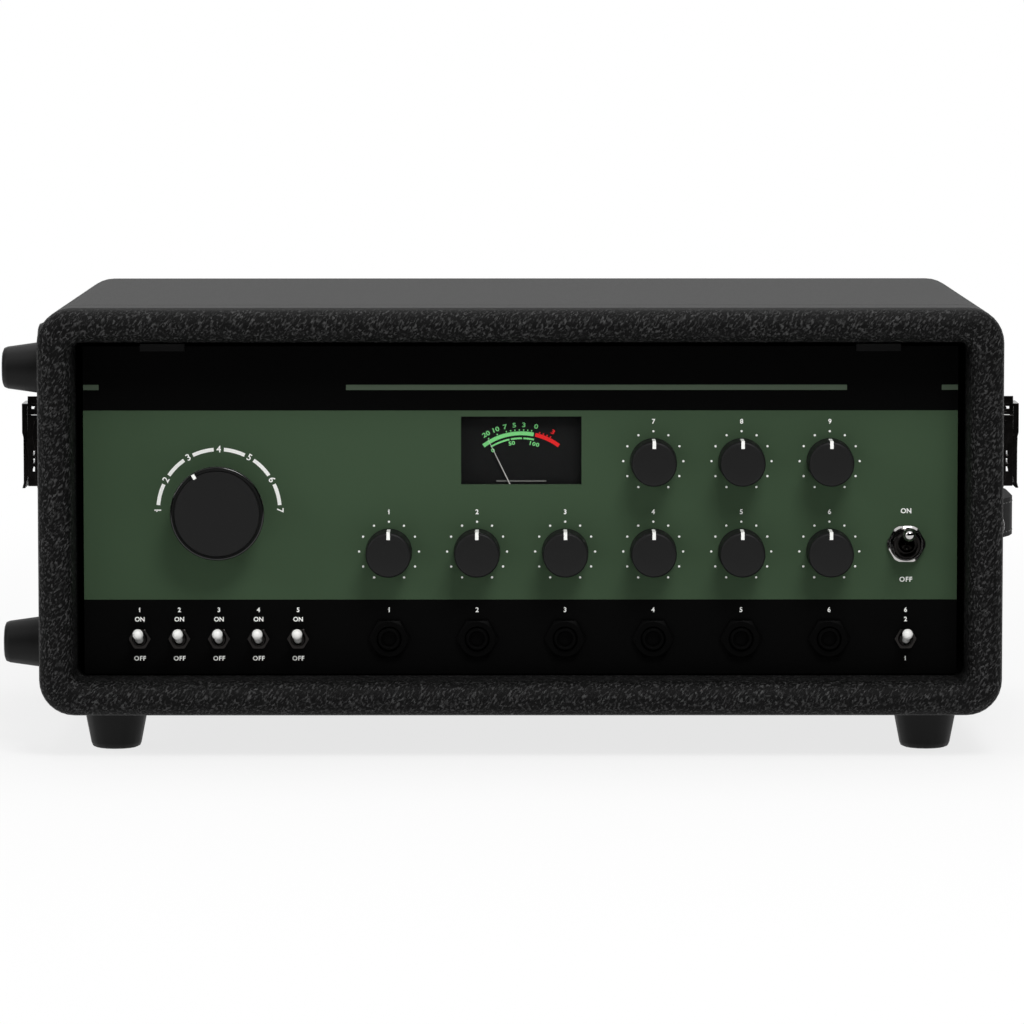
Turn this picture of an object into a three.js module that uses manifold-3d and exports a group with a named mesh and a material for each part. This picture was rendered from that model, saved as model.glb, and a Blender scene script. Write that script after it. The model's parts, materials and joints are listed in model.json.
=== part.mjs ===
// Tape echo unit: a carrying case with a recessed control panel, a rear-hinged lid held by two draw
// latches, and a tape transport on a deck under the lid.
// Units are millimetres, +Z is up, +Y runs from the control panel to the back.
import * as THREE from 'three';
import { mergeVertices } from 'three/addons/utils/BufferGeometryUtils.js';
import Module from 'manifold-3d';

const wasm = await Module();
wasm.setup();

// Clearances
const seatGap = 0.3;
const cutOverrun = 5;

// Case
const caseWidth = 420;
const caseHeight = 178;
const caseDepth = 280;
const boardThickness = 15;
const caseCornerRadius = 15.5;
const mouthCornerRadius = 4;
const rimRounding = 7;
const frontFrameDepth = 30;
const lidHeight = 52.5;
const lidGap = 0.6;

// Feet
const footHeight = 18.5;
const footBaseRadius = 14.25;
const footEndRadius = 11.15;
const footEdgeRounding = 2.2;
const footFromSide = 31;
const footFromFront = 45;
const footFromBack = 45;
const sideFootHeight = 18;
const sideFootBaseRadius = 11.5;
const sideFootEndRadius = 9.3;
const upperSideFootDrop = 28.3;
const lowerSideFootRise = 28.25;

// Lid hinges
const hingeFromSide = 48;
const hingeKnuckleCount = 9;
const hingeLeafHeight = 22;
const hingeLeafThickness = 1.6;
const hingeKnuckleRadius = 3;
const hingePinRadius = 1.3;
const hingePinHeadRadius = 2.4;
const hingePinHeadLength = 1.2;

// Draw latches
const latchFromFront = 71;
const latchWidth = 26;
const latchSheet = 1.2;
const latchPivotOut = 4.6;
const latchPivotDrop = 6.4;
const latchCrank = 5;
const latchCrankAngle = -20;
const latchPinRadius = 0.9;
const latchBaseLength = 30.5;
const latchEarReach = 6.4;
const latchFlangeReach = 5.4;
const latchLeverReach = 10.5;
const latchLeverLength = 24;
const latchChannelDepth = 2.5;
const latchWebDrop = 3.6;
const latchTaperRise = 7.5;
const latchRibPitch = 3.6;
const latchRibInner = 6.3;
const latchClawReach = 11.2;
const latchClawTop = 7.1;
const latchHookInner = 2.4;
const latchHookBite = 1.5;
const keeperRise = 2.8;
const keeperHeight = 10;
const keeperLipOut = 4.5;

// Strap handle
const handleLength = 170;
const handleDrop = 47.85;
const strapWidth = 17.5;
const strapThickness = 5;
const strapEndThickness = 2.2;
const strapReach = 13.8;
const strapRamp = 38;
const strapStepCount = 18;
const capLength = 30;
const capWidth = 23;
const capHeight = 5.4;
const capEndHeight = 2.4;
const capWall = 1.5;

// Front panel
const panelRecess = 28;
const panelThickness = 2;
const panelSideGap = 3.4;
const panelTopGap = 3;
const panelBottomGap = 0.9;
const clipWidth = 19.5;
const clipPlaceShare = 0.818;
const clipOverlap = 2.1;
const clipThickness = 0.8;

// Control places on the panel: across as shares of half its width from the middle, and up as shares of
// its height from the lower edge
const columnCount = 6;
const columnPitchShare = 0.2017;
const firstColumnShare = -0.301;
const toggleCount = 5;
const togglePitchShare = 0.0908;
const firstToggleShare = -0.873;
const powerAcrossShare = 0.883;
const modeAcrossShare = -0.69;
const meterAcrossShare = 0.002;
const switchRowShare = 0.1076;
const knobRowShare = 0.374;
const upperKnobRowShare = 0.65;
const powerUpShare = 0.3983;
const modeUpShare = 0.501;
const meterUpShare = 0.5788;

// Small knobs and their pots
const knobRadius = 10.3;
const knobFrontRadius = 9.2;
const knobHeight = 17;
const knobEdge = 1.3;
const knobEdgeTaperShare = 0.25;
const knobSkirt = 2;
const knobStandOff = 0.6;
const shaftRadius = 3;
const shaftLength = 12.5;
const bushRadius = 3.5;
const potRadius = 8;
const potDepth = 9;
const controlBoardThickness = 1.6;
const controlBoardSideGap = 13.6;
const controlBoardRise = 5;
const controlBoardTopGap = 35.1;
const controlBoardClearance = 2;

// Mode knob and its switch
const modeKnobRadius = 20.7;
const modeKnobFrontRadius = 18.3;
const modeKnobHeight = 20;
const modeKnobEdge = 1.6;
const modeKnobSkirt = 4;
const modeShaftLength = 15;
const modeSwitchRadius = 14;
const modeSwitchDepth = 22;
const modeWaferCount = 3;
const modeWaferThickness = 1.6;
const modeSpacerRadius = 5;

// Toggle switches
const toggleNutFlats = 8;
const toggleNutThickness = 2;
const toggleBushRadius = 3;
const toggleBushLength = 5.5;
const toggleMouthRadius = 2.3;
const toggleBodyWidth = 8;
const toggleBodyHeight = 12.7;
const toggleBodyDepth = 10;
const leverPivotDepth = 2.4;
const leverBallRadius = 1.7;
const leverNeckRadius = 0.95;
const leverTipRadius = 2.25;
const leverLength = 14;
const leverTilt = 14;
const leverNeckShare = 1.2;
const leverWaistShare = 0.62;
const leverCrownShare = 1.3;
const powerNutFlats = 16.5;
const powerNutThickness = 3;
const powerBushRadius = 5.9;
const powerBushLength = 8.5;
const powerMouthRadius = 4.4;
const powerBodyWidth = 18;
const powerBodyHeight = 28;
const powerBodyDepth = 19;
const powerPivotDepth = 3.6;
const powerBallRadius = 3.6;
const powerNeckRadius = 1.7;
const powerTipRadius = 2.9;
const powerLeverLength = 21;

// Jack sockets
const jackBoreRadius = 3.25;
const jackBushRadius = 4.6;
const jackBushLength = 4.2;
const jackBoreDepth = 29;
const jackNutFlats = 16.2;
const jackNutThickness = 2.6;
const jackBodyWidth = 15;
const jackBodyHeight = 17;
const jackBodyDepth = 27;

// Level meter
const meterWindowWidth = 52.8;
const meterWindowHeight = 29.9;
const meterGlassThickness = 1;
const meterWall = 2.4;
const meterNeedleRoom = 3.4;
const meterDepth = 20;
const meterPivotDrop = 10.8;
const meterBossRadius = 2.6;
const meterBossHeight = 0.8;
const needleReach = 34.6;
const needleHubRadius = 2;
const needleThickness = 0.6;
const needleRootWidth = 1.1;
const needleTipWidth = 0.6;
const needleAngle = 26;
const needleTail = 4;

// Chassis
const sheetThickness = 1.5;
const chassisSideGap = 4.3;
const chassisRearGap = 3;
const chassisSill = 6;
const chassisPost = 8;
const chassisHeader = 12;
const chassisTopDrop = 0.5;

// Tape deck
const deckThickness = 2.5;
const deckBelowLidLine = 3.5;
const deckFromPanel = 30;
const deckSideGap = 2;
const guideRadius = 4;
const guideHeight = 11;
const guideInset = 16;
const guideFromDeckFront = 36.6;
const bridgeFromGuide = 40;
const bridgeFromCapstan = 34;
const bridgeDepth = 16;
const bridgeThickness = 1.6;
const bearingRadius = 5.5;
const bearingDrop = 8;

// Loop tray and its cover
const traySideGap = 26.7;
const trayFromGuide = 33.4;
const trayFromBack = 12;
const trayWall = 2;
const trayHeight = 11;
const traySlot = 9;
const coverThickness = 2;
const coverLip = 3;
const coverScrewRadius = 4;
const coverScrewHeight = 5;
const coverScrewInset = 8;

// Tape
const tapeWidth = 6.35;
const tapeThickness = 0.3;
const tapeRise = 2.1;
const tapeRunCount = 10;
const tapeFoldRoom = 9.3;
const tapeFoldPhaseShare = 2.1;
const tapeFoldVariationShare = 0.1;

// Heads
const headCount = 5;
const headWidth = 13;
const headDepth = 12;
const headHeight = 12;
const headNose = 3;

// Capstan, pinch roller and motor
const capstanFromGuide = 50;
const capstanRadius = 1.6;
const capstanTop = 13;
const flywheelRadius = 30;
const flywheelThickness = 9;
const flywheelHubRadius = 7;
const flywheelDrop = 11;
const flywheelWeb = 3;
const flywheelRim = 6;
const rollerRadius = 8;
const rollerHeight = 9;
const rollerRise = 2;
const rollerPinRadius = 1.5;
const armReach = 32;
const armSetBack = 18.6;
const armWidth = 9;
const armThickness = 1.4;
const armPivotRadius = 2;
const motorRadius = 20;
const motorHeight = 30;
const motorPostRadius = 2.5;
const motorFlange = 2;
const motorBossHeight = 2;
const capstanTail = 6;

// Electrics inside the chassis
const transformerFromSide = 50.7;
const transformerFromBack = 57;
const transformerWidth = 66;
const transformerDepth = 34;
const transformerHeight = 55;
const coilOverhang = 11;
const coilShare = 0.62;
const transformerFoot = 9;
const tankFromSide = 2.7;
const tankFromTransformer = 34;
const tankFromBack = 13;
const tankDepthShare = 0.379;
const tankHeight = 33;
const tankFlange = 8;
const tankWall = 1;
const boardFromLeft = 20.7;
const boardFromRight = 60.7;
const boardFromPanel = 40;
const boardDepthShare = 0.302;
const boardRise = 12;
const circuitThickness = 1.6;
const standoffRadius = 3;
const capacitorRadius = 7;
const capacitorHeight = 22;
const capacitorPitch = 18.2;
const capacitorCount = 4;
const chipWidth = 19;
const chipDepth = 7;
const chipHeight = 4;
const chipCount = 6;

// Mains inlet
const inletFromSide = 82;
const inletRise = 36;
const inletFlangeWidth = 50;
const inletFlangeHeight = 31;
const inletFlangeThickness = 3;
const inletBodyWidth = 27.5;
const inletBodyHeight = 20.5;
const inletBodyDepth = 20;
const inletRecessWidth = 23.6;
const inletRecessHeight = 16.6;
const inletRecessDepth = 16.5;
const inletPinWidth = 2;
const inletPinHeight = 4;
const inletPinLength = 11.5;
const inletPinSpread = 7;
const inletPinOffset = 2;

// Levels and planes that the pieces share
const caseSideX = caseWidth / 2;
const caseBottomZ = footHeight;
const caseTopZ = caseBottomZ + caseHeight;
const partingZ = caseTopZ - lidHeight;
const mouthSideX = caseSideX - boardThickness;
const mouthBottomZ = caseBottomZ + boardThickness;
const mouthTopZ = caseTopZ - boardThickness;
const backInnerY = caseDepth - boardThickness;
const panelSideX = mouthSideX - panelSideGap;
const panelBottomZ = mouthBottomZ + panelBottomGap;
const panelTopZ = mouthTopZ - panelTopGap;
const panelBackY = panelRecess + panelThickness;
const chassisSideX = mouthSideX - chassisSideGap;
const chassisBottomZ = mouthBottomZ + seatGap;
const chassisFloorZ = chassisBottomZ + sheetThickness;
const chassisBackY = backInnerY - chassisRearGap;
const deckTopZ = partingZ - deckBelowLidLine;
const deckBottomZ = deckTopZ - deckThickness;
const chassisTopZ = deckBottomZ - seatGap;
const chassisRoomDepth = chassisBackY - panelBackY;
const inletX = caseSideX - inletFromSide;
const floorSeatZ = chassisFloorZ + seatGap;

// Places on the panel
const panelHeight = panelTopZ - panelBottomZ;
function evenlySpaced(count, firstShare, pitchShare) {
  return Array.from({ length: count }, (_, index) => (firstShare + index * pitchShare) * panelSideX);
}

const columns = evenlySpaced(columnCount, firstColumnShare, columnPitchShare);
const toggleColumns = evenlySpaced(toggleCount, firstToggleShare, togglePitchShare);
const powerX = powerAcrossShare * panelSideX;
const modeX = modeAcrossShare * panelSideX;
const meterCentreX = meterAcrossShare * panelSideX;
const switchRowZ = panelBottomZ + switchRowShare * panelHeight;
const knobRowZ = panelBottomZ + knobRowShare * panelHeight;
const upperKnobRowZ = panelBottomZ + upperKnobRowShare * panelHeight;
const powerZ = panelBottomZ + powerUpShare * panelHeight;
const modeZ = panelBottomZ + modeUpShare * panelHeight;
const meterBottomZ = panelBottomZ + meterUpShare * panelHeight;
const meterPivotZ = meterBottomZ - meterPivotDrop;

// Places on the deck
const deckSideX = chassisSideX - deckSideGap;
const deckFrontY = panelBackY + deckFromPanel;
const guideY = deckFrontY + guideFromDeckFront;
const trayHalfWidth = deckSideX - traySideGap;
const trayFrontY = guideY + trayFromGuide;
const trayBackY = chassisBackY - trayFromBack;
const guideX = trayHalfWidth - guideInset;
const capstanX = guideX - capstanFromGuide;
const armX = capstanX + armReach;
const armY = guideY - armSetBack;

// The finishes: colour, roughness and metalness of one kind of surface.
const finishes = {
  vinyl: [0x2a2a2b, 0.7, 0],
  rubber: [0x232324, 0.75, 0],
  darkNickel: [0x4a4846, 0.3, 0.9],
  chrome: [0xb9b9bb, 0.15, 1],
  panelPaint: [0x3b4c39, 0.5, 0.1],
  knobPlastic: [0x232323, 0.55, 0],
  blackPlastic: [0x101010, 0.45, 0],
  clearPlastic: [0xdde4e6, 0.1, 0],
  needlePaint: [0xe8e8e4, 0.5, 0],
  zincSheet: [0x9a9c9c, 0.45, 0.9],
  steel: [0x8d8f92, 0.3, 1],
  tapeFilm: [0x3a2a22, 0.4, 0],
  circuitLaminate: [0x1f5a34, 0.5, 0],
  brass: [0xb08d4a, 0.35, 1],
};

// Joins and cuts. A shell whose faces turned inwards is turned round before it is used.
function solidOf(geometry) {
  const bare = geometry.clone();
  bare.deleteAttribute('normal');
  bare.deleteAttribute('uv');
  const merged = mergeVertices(bare);
  const place = merged.attributes.position;
  const corners = merged.index.array;
  const triangles = [];
  let volume = 0;
  const [a, b, c] = [new THREE.Vector3(), new THREE.Vector3(), new THREE.Vector3()];
  for (let start = 0; start < corners.length; start += 3) {
    const [i, j, k] = corners.slice(start, start + 3);
    if (i !== j && j !== k && k !== i) {
      triangles.push(i, j, k);
      a.fromBufferAttribute(place, i);
      b.fromBufferAttribute(place, j);
      c.fromBufferAttribute(place, k);
      volume += a.dot(b.cross(c));
    }
  }
  if (volume < 0) {
    triangles.reverse();
  }
  const mesh = new wasm.Mesh({
    numProp: 3,
    vertProperties: new Float32Array(place.array),
    triVerts: new Uint32Array(triangles),
  });
  return new wasm.Manifold(mesh);
}

function geometryOf(manifold) {
  const mesh = manifold.getMesh();
  const geometry = new THREE.BufferGeometry();
  geometry.setAttribute('position', new THREE.BufferAttribute(new Float32Array(mesh.vertProperties), 3));
  geometry.setIndex(new THREE.BufferAttribute(new Uint32Array(mesh.triVerts), 1));
  return geometry;
}

function join(first, ...others) {
  return geometryOf(others.reduce((sum, other) => sum.add(solidOf(other)), solidOf(first)));
}

function cut(first, ...cutters) {
  return geometryOf(cutters.reduce((rest, cutter) => rest.subtract(solidOf(cutter)), solidOf(first)));
}

function common(first, second) {
  return geometryOf(solidOf(first).intersect(solidOf(second)));
}

// Basic forms
function block(x0, x1, y0, y1, z0, z1) {
  const box = new THREE.BoxGeometry(x1 - x0, y1 - y0, z1 - z0);
  return box.translate((x0 + x1) / 2, (y0 + y1) / 2, (z0 + z1) / 2);
}

function outlineOf(points) {
  return new THREE.Shape(points.map(([across, up]) => new THREE.Vector2(across, up)));
}

function roundedOutline(x0, x1, y0, y1, radius) {
  const shape = new THREE.Shape();
  shape.absarc(x1 - radius, y0 + radius, radius, -Math.PI / 2, 0, false);
  shape.absarc(x1 - radius, y1 - radius, radius, 0, Math.PI / 2, false);
  shape.absarc(x0 + radius, y1 - radius, radius, Math.PI / 2, Math.PI, false);
  shape.absarc(x0 + radius, y0 + radius, radius, Math.PI, 1.5 * Math.PI, false);
  shape.closePath();
  return shape;
}

function roundHole(x, y, radius, sides) {
  const points = [];
  for (let side = 0; side < sides; side += 1) {
    const angle = (2 * Math.PI * (side + 0.5)) / sides;
    points.push(new THREE.Vector2(x + radius * Math.cos(angle), y + radius * Math.sin(angle)));
  }
  return new THREE.Path(points);
}

function hexOutline(x, z, flats) {
  const corner = flats / Math.sqrt(3);
  const points = [];
  for (let side = 0; side < 6; side += 1) {
    const angle = (side * Math.PI) / 3;
    points.push([x + corner * Math.cos(angle), z + corner * Math.sin(angle)]);
  }
  return outlineOf(points);
}

// A shape drawn across (x) and up (z), made thick along y from its front plane.
function standing(shape, frontY, thickness, curveSegments = 4) {
  const plate = new THREE.ExtrudeGeometry(shape, { depth: thickness, bevelEnabled: false, curveSegments });
  return plate.rotateX(Math.PI / 2).translate(0, frontY + thickness, 0);
}

// A shape drawn in plan (x, y), made thick upwards from its lower plane.
function lying(shape, bottomZ, thickness, curveSegments = 4) {
  const plate = new THREE.ExtrudeGeometry(shape, { depth: thickness, bevelEnabled: false, curveSegments });
  return plate.translate(0, 0, bottomZ);
}

function turned(profile, sides) {
  return new THREE.LatheGeometry(profile.map(([radius, along]) => new THREE.Vector2(radius, along)), sides);
}

function turnedUp(profile, sides) {
  return turned(profile, sides).rotateX(Math.PI / 2);
}

function turnedToFront(profile, sides) {
  return turned(profile, sides).rotateX(Math.PI);
}

function rod(radius, length) {
  return [[0, 0], [radius, 0], [radius, length], [0, length]];
}

function degrees(angle) {
  return (angle * Math.PI) / 180;
}

const unit = new THREE.Group();

function addPiece(name, finish, geometry) {
  const [color, roughness, metalness] = finishes[finish];
  const material = new THREE.MeshStandardMaterial({ color, roughness, metalness });
  const clean = geometryOf(solidOf(geometry));
  clean.computeVertexNormals();
  const mesh = new THREE.Mesh(clean, material);
  mesh.name = name;
  unit.add(mesh);
}

// Case: boards with rounded edges, open at the front, closed by a back board.
function caseBlock(withMouth) {
  const outline = roundedOutline(-caseSideX, caseSideX, caseBottomZ, caseTopZ, caseCornerRadius);
  if (withMouth) {
    const hole = roundedOutline(-mouthSideX, mouthSideX, mouthBottomZ, mouthTopZ, mouthCornerRadius);
    outline.holes.push(hole);
  }
  const solid = new THREE.ExtrudeGeometry(outline, {
    depth: caseDepth - 2 * rimRounding,
    bevelThickness: rimRounding,
    bevelSize: rimRounding,
    bevelOffset: -rimRounding,
    bevelSegments: 3,
    curveSegments: 4,
  });
  return solid.rotateX(Math.PI / 2).translate(0, caseDepth - rimRounding, 0);
}

function wholeCase() {
  const reach = caseWidth + cutOverrun;
  const backZone = block(-reach, reach, backInnerY, caseDepth + cutOverrun, 0, caseTopZ + cutOverrun);
  return join(caseBlock(true), common(caseBlock(false), backZone));
}

function lidZone(gap) {
  const reach = caseWidth + cutOverrun;
  const frontY = frontFrameDepth + gap;
  return block(-reach, reach, frontY, caseDepth + cutOverrun, partingZ + gap, caseTopZ + cutOverrun);
}

function inletOpening() {
  const halfWidth = inletBodyWidth / 2 + seatGap;
  const halfHeight = inletBodyHeight / 2 + seatGap;
  const centreZ = caseBottomZ + inletRise;
  const [y0, y1] = [chassisBackY - sheetThickness - cutOverrun, caseDepth + cutOverrun];
  return block(inletX - halfWidth, inletX + halfWidth, y0, y1, centreZ - halfHeight, centreZ + halfHeight);
}

addPiece('case_body', 'vinyl', cut(wholeCase(), lidZone(0), inletOpening()));
addPiece('lid_shell', 'vinyl', common(wholeCase(), lidZone(lidGap)));

// Feet: tapered rubber, rounded at the free end.
function footProfile(height, baseRadius, endRadius) {
  const shoulder = footEdgeRounding * Math.SQRT1_2;
  return [
    [0, seatGap],
    [baseRadius, seatGap],
    [endRadius, height - footEdgeRounding],
    [endRadius - footEdgeRounding + shoulder, height - footEdgeRounding + shoulder],
    [endRadius - footEdgeRounding, height],
    [0, height],
  ];
}

const footLines = [['front', footFromFront], ['rear', caseDepth - footFromBack]];
const sideFootLevels = [['upper', caseTopZ - upperSideFootDrop], ['lower', caseBottomZ + lowerSideFootRise]];

for (const [line, y] of footLines) {
  for (const [side, direction] of [['left', -1], ['right', 1]]) {
    const foot = turned(footProfile(footHeight, footBaseRadius, footEndRadius), 16).rotateX(-Math.PI / 2);
    const x = direction * (caseSideX - footFromSide);
    addPiece(`bottom_foot_${line}_${side}`, 'rubber', foot.translate(x, y, caseBottomZ));
  }
  for (const [level, z] of sideFootLevels) {
    const foot = turned(footProfile(sideFootHeight, sideFootBaseRadius, sideFootEndRadius), 16);
    addPiece(`side_foot_${line}_${level}`, 'rubber', foot.rotateZ(Math.PI / 2).translate(-caseSideX, y, z));
  }
}

// Lid hinge: one long hinge on the back with its pin on the parting line
const hingeAxisY = caseDepth + seatGap + hingeKnuckleRadius;
const hingeAxisZ = partingZ + lidGap / 2;
const hingeLength = caseWidth - 2 * hingeFromSide;
const hingePitch = hingeLength / hingeKnuckleCount;

function hingeRod(x0, x1, radius) {
  return turned(rod(radius, x1 - x0), 8).rotateZ(-Math.PI / 2).translate(x0, hingeAxisY, hingeAxisZ);
}

// The leaf on one side of the pin keeps every second knuckle and is cut back round the others.
function hingeLeaf(side, firstKnuckle) {
  const frontY = caseDepth + seatGap;
  const inner = hingeAxisZ + side * seatGap;
  const outer = hingeAxisZ + side * hingeLeafHeight;
  const [z0, z1] = [Math.min(inner, outer), Math.max(inner, outer)];
  let leaf = block(-hingeLength / 2, hingeLength / 2, frontY, frontY + hingeLeafThickness, z0, z1);
  for (let index = 0; index < hingeKnuckleCount; index += 1) {
    const x = -hingeLength / 2 + index * hingePitch;
    if (index % 2 === firstKnuckle) {
      leaf = join(leaf, hingeRod(x + seatGap, x + hingePitch - seatGap, hingeKnuckleRadius));
    } else {
      leaf = cut(leaf, hingeRod(x - seatGap, x + hingePitch + seatGap, hingeKnuckleRadius + seatGap));
    }
  }
  return cut(leaf, hingeRod(-hingeLength, hingeLength, hingePinRadius + seatGap));
}

function hingePin() {
  const end = hingeLength / 2 + seatGap;
  return join(
    hingeRod(-end, end, hingePinRadius),
    hingeRod(-end - hingePinHeadLength, -end, hingePinHeadRadius),
    hingeRod(end, end + hingePinHeadLength, hingePinHeadRadius),
  );
}

addPiece('lid_hinge_lower_leaf', 'darkNickel', hingeLeaf(-1, 0));
addPiece('lid_hinge_upper_leaf', 'darkNickel', hingeLeaf(1, 1));
addPiece('lid_hinge_pin', 'steel', hingePin());

// Draw latches, drawn for the right side of the case: "out" is measured from the case side.
const latchPivotZ = partingZ - latchPivotDrop;
const clawPivotOut = latchPivotOut + latchCrank * Math.cos(degrees(latchCrankAngle));
const clawPivotZ = latchPivotZ + latchCrank * Math.sin(degrees(latchCrankAngle));
const latchHalf = latchWidth / 2;
const cheekOuter = latchHalf - latchSheet - seatGap;
const cheekInner = cheekOuter - latchSheet;
const clawHalf = cheekInner - seatGap;
const clawInner = clawHalf - latchSheet;
const keeperZ = partingZ + keeperRise;
const hookTopZ = partingZ + latchClawTop;
const lipTopZ = hookTopZ - latchSheet - seatGap;
const knuckle = latchPinRadius + seatGap + latchSheet / 2;

function latchSlab(points, from, to) {
  const shape = outlineOf(points.map(([out, z]) => [caseSideX + out, z]));
  return standing(shape, latchFromFront + from, to - from);
}

function latchPin(out, z, radius, half) {
  const pin = turned(rod(radius, 2 * half), 8);
  return pin.translate(caseSideX + out, latchFromFront - half, z);
}

function onBothSides(points, inner, outer) {
  return [latchSlab(points, inner, outer), latchSlab(points, -outer, -inner)];
}

function rectangle(out0, out1, z0, z1) {
  return [[out0, z0], [out1, z0], [out1, z1], [out0, z1]];
}

function latchBase() {
  const topZ = partingZ - seatGap;
  const bottomZ = topZ - latchBaseLength;
  const back = rectangle(seatGap, seatGap + latchSheet, bottomZ, topZ);
  const ear = [
    [seatGap, bottomZ],
    [latchFlangeReach - latchSheet, bottomZ],
    [latchFlangeReach, bottomZ + latchEarReach],
    [latchFlangeReach, latchPivotZ - latchEarReach],
    [latchEarReach, latchPivotZ - knuckle],
    [latchEarReach, latchPivotZ + knuckle],
    [latchFlangeReach, topZ],
    [seatGap, topZ],
  ];
  const plate = latchSlab(back, -latchHalf, latchHalf);
  const pin = latchPin(latchPivotOut, latchPivotZ, latchPinRadius, latchHalf);
  return join(plate, ...onBothSides(ear, latchHalf - latchSheet, latchHalf), pin);
}

function latchLever() {
  const bottomZ = latchPivotZ - latchLeverLength;
  const webTopZ = clawPivotZ - latchWebDrop;
  const inner = latchLeverReach - latchSheet;
  const flare = latchSheet / 2;
  const web = [
    [inner, webTopZ],
    [inner, bottomZ + latchChannelDepth],
    [inner + flare, bottomZ],
    [latchLeverReach + flare, bottomZ],
    [latchLeverReach, bottomZ + latchChannelDepth],
    [latchLeverReach, webTopZ],
  ];
  const channel = latchLeverReach - latchChannelDepth;
  const cheek = [
    [latchPivotOut - knuckle, latchPivotZ - latchPinRadius],
    [latchPivotOut, latchPivotZ - knuckle],
    [channel, webTopZ],
    [channel, bottomZ + latchTaperRise],
    [inner, bottomZ + latchChannelDepth],
    [latchLeverReach, bottomZ + latchChannelDepth],
    [latchLeverReach, clawPivotZ + latchPinRadius],
    [clawPivotOut, clawPivotZ + knuckle],
    [latchPivotOut, latchPivotZ + knuckle],
    [latchPivotOut - knuckle, latchPivotZ + latchPinRadius],
  ];
  const ribs = [1, 2].map((index) => {
    const topZ = webTopZ - index * latchRibPitch - latchSheet / 2;
    const rib = rectangle(latchRibInner, inner + flare, topZ - latchSheet, topZ);
    return latchSlab(rib, -cheekOuter, cheekOuter);
  });
  const body = join(
    latchSlab(web, -cheekOuter, cheekOuter),
    ...onBothSides(cheek, cheekInner, cheekOuter),
    ...ribs,
  );
  const hole = latchPinRadius + seatGap;
  return cut(
    body,
    latchPin(latchPivotOut, latchPivotZ, hole, latchHalf),
    latchPin(clawPivotOut, clawPivotZ, hole, latchHalf),
  );
}

function latchClaw() {
  const inner = latchClawReach - latchSheet;
  const plateBottomZ = clawPivotZ + knuckle + latchSheet / 2;
  const tipBottomZ = lipTopZ - latchHookBite;
  const front = rectangle(inner, latchClawReach, plateBottomZ, hookTopZ);
  const roof = rectangle(latchHookInner, latchClawReach, hookTopZ - latchSheet, hookTopZ);
  const tip = rectangle(latchHookInner, latchHookInner + latchSheet, tipBottomZ, hookTopZ);
  const ear = [
    [clawPivotOut - knuckle, clawPivotZ - latchPinRadius],
    [clawPivotOut - latchPinRadius, clawPivotZ - knuckle],
    [clawPivotOut + latchPinRadius / 2, clawPivotZ - knuckle],
    [latchClawReach - latchSheet / 2, clawPivotZ],
    [latchClawReach, plateBottomZ],
    [latchClawReach, hookTopZ],
    [inner - latchSheet, hookTopZ],
    [inner - latchSheet, plateBottomZ + latchSheet],
    [clawPivotOut - knuckle, clawPivotZ + knuckle],
  ];
  const pin = latchPin(clawPivotOut, clawPivotZ, latchPinRadius, cheekOuter);
  return join(
    latchSlab(front, -clawHalf, clawHalf),
    latchSlab(roof, -clawHalf, clawHalf),
    latchSlab(tip, -clawHalf, clawHalf),
    ...onBothSides(ear, clawInner, clawHalf),
    pin,
  );
}

function latchKeeper() {
  const floorTopZ = lipTopZ - latchHookBite - seatGap;
  const plate = rectangle(seatGap, seatGap + latchSheet, keeperZ, keeperZ + keeperHeight);
  const floor = rectangle(seatGap, keeperLipOut + latchSheet, floorTopZ - latchSheet, floorTopZ);
  const lip = rectangle(keeperLipOut, keeperLipOut + latchSheet, floorTopZ - latchSheet, lipTopZ);
  const gusset = [
    [seatGap, keeperZ],
    [keeperLipOut, floorTopZ - latchSheet],
    [keeperLipOut, keeperZ + keeperHeight - 2 * latchSheet],
    [seatGap, keeperZ + keeperHeight],
  ];
  const lipHalf = clawHalf + seatGap;
  return join(
    latchSlab(plate, -latchHalf, latchHalf),
    latchSlab(floor, -latchHalf, latchHalf),
    latchSlab(lip, -lipHalf, lipHalf),
    ...onBothSides(gusset, latchHalf - latchSheet, latchHalf),
  );
}

function onLeftSide(geometry) {
  return geometry.clone().translate(0, -latchFromFront, 0).rotateZ(Math.PI).translate(0, latchFromFront, 0);
}

const latchPieces = [
  ['base', latchBase],
  ['keeper', latchKeeper],
  ['lever', latchLever],
  ['claw', latchClaw],
];
for (const [name, shaped] of latchPieces) {
  addPiece(`right_latch_${name}`, 'darkNickel', shaped());
  addPiece(`left_latch_${name}`, 'darkNickel', onLeftSide(shaped()));
}

// Strap handle on the right side: a stiff strap that arches out between two end caps.
const handleCentreY = caseDepth / 2;
const handleCentreZ = partingZ - handleDrop;
const strapHalf = handleLength / 2 - capWall - seatGap;
const strapEndOut = 2 * seatGap + strapEndThickness;

// How far the strap has risen at a distance from its middle: 0 under the caps, 1 at the crown.
function strapRise(distance) {
  const rampStart = handleLength / 2 - capLength;
  const share = THREE.MathUtils.clamp((rampStart - Math.abs(distance)) / strapRamp, 0, 1);
  return share * share * (3 - 2 * share);
}

function strap() {
  const outer = [];
  const inner = [];
  for (let step = 0; step <= strapStepCount; step += 1) {
    const distance = -strapHalf + (2 * strapHalf * step) / strapStepCount;
    const rise = strapRise(distance);
    const thickness = THREE.MathUtils.lerp(strapEndThickness, strapThickness, rise);
    const out = THREE.MathUtils.lerp(strapEndOut, strapReach, rise);
    outer.push([caseSideX + out, handleCentreY + distance]);
    inner.unshift([caseSideX + out - thickness, handleCentreY + distance]);
  }
  return lying(outlineOf([...outer, ...inner]), handleCentreZ - strapWidth / 2, strapWidth);
}

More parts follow.
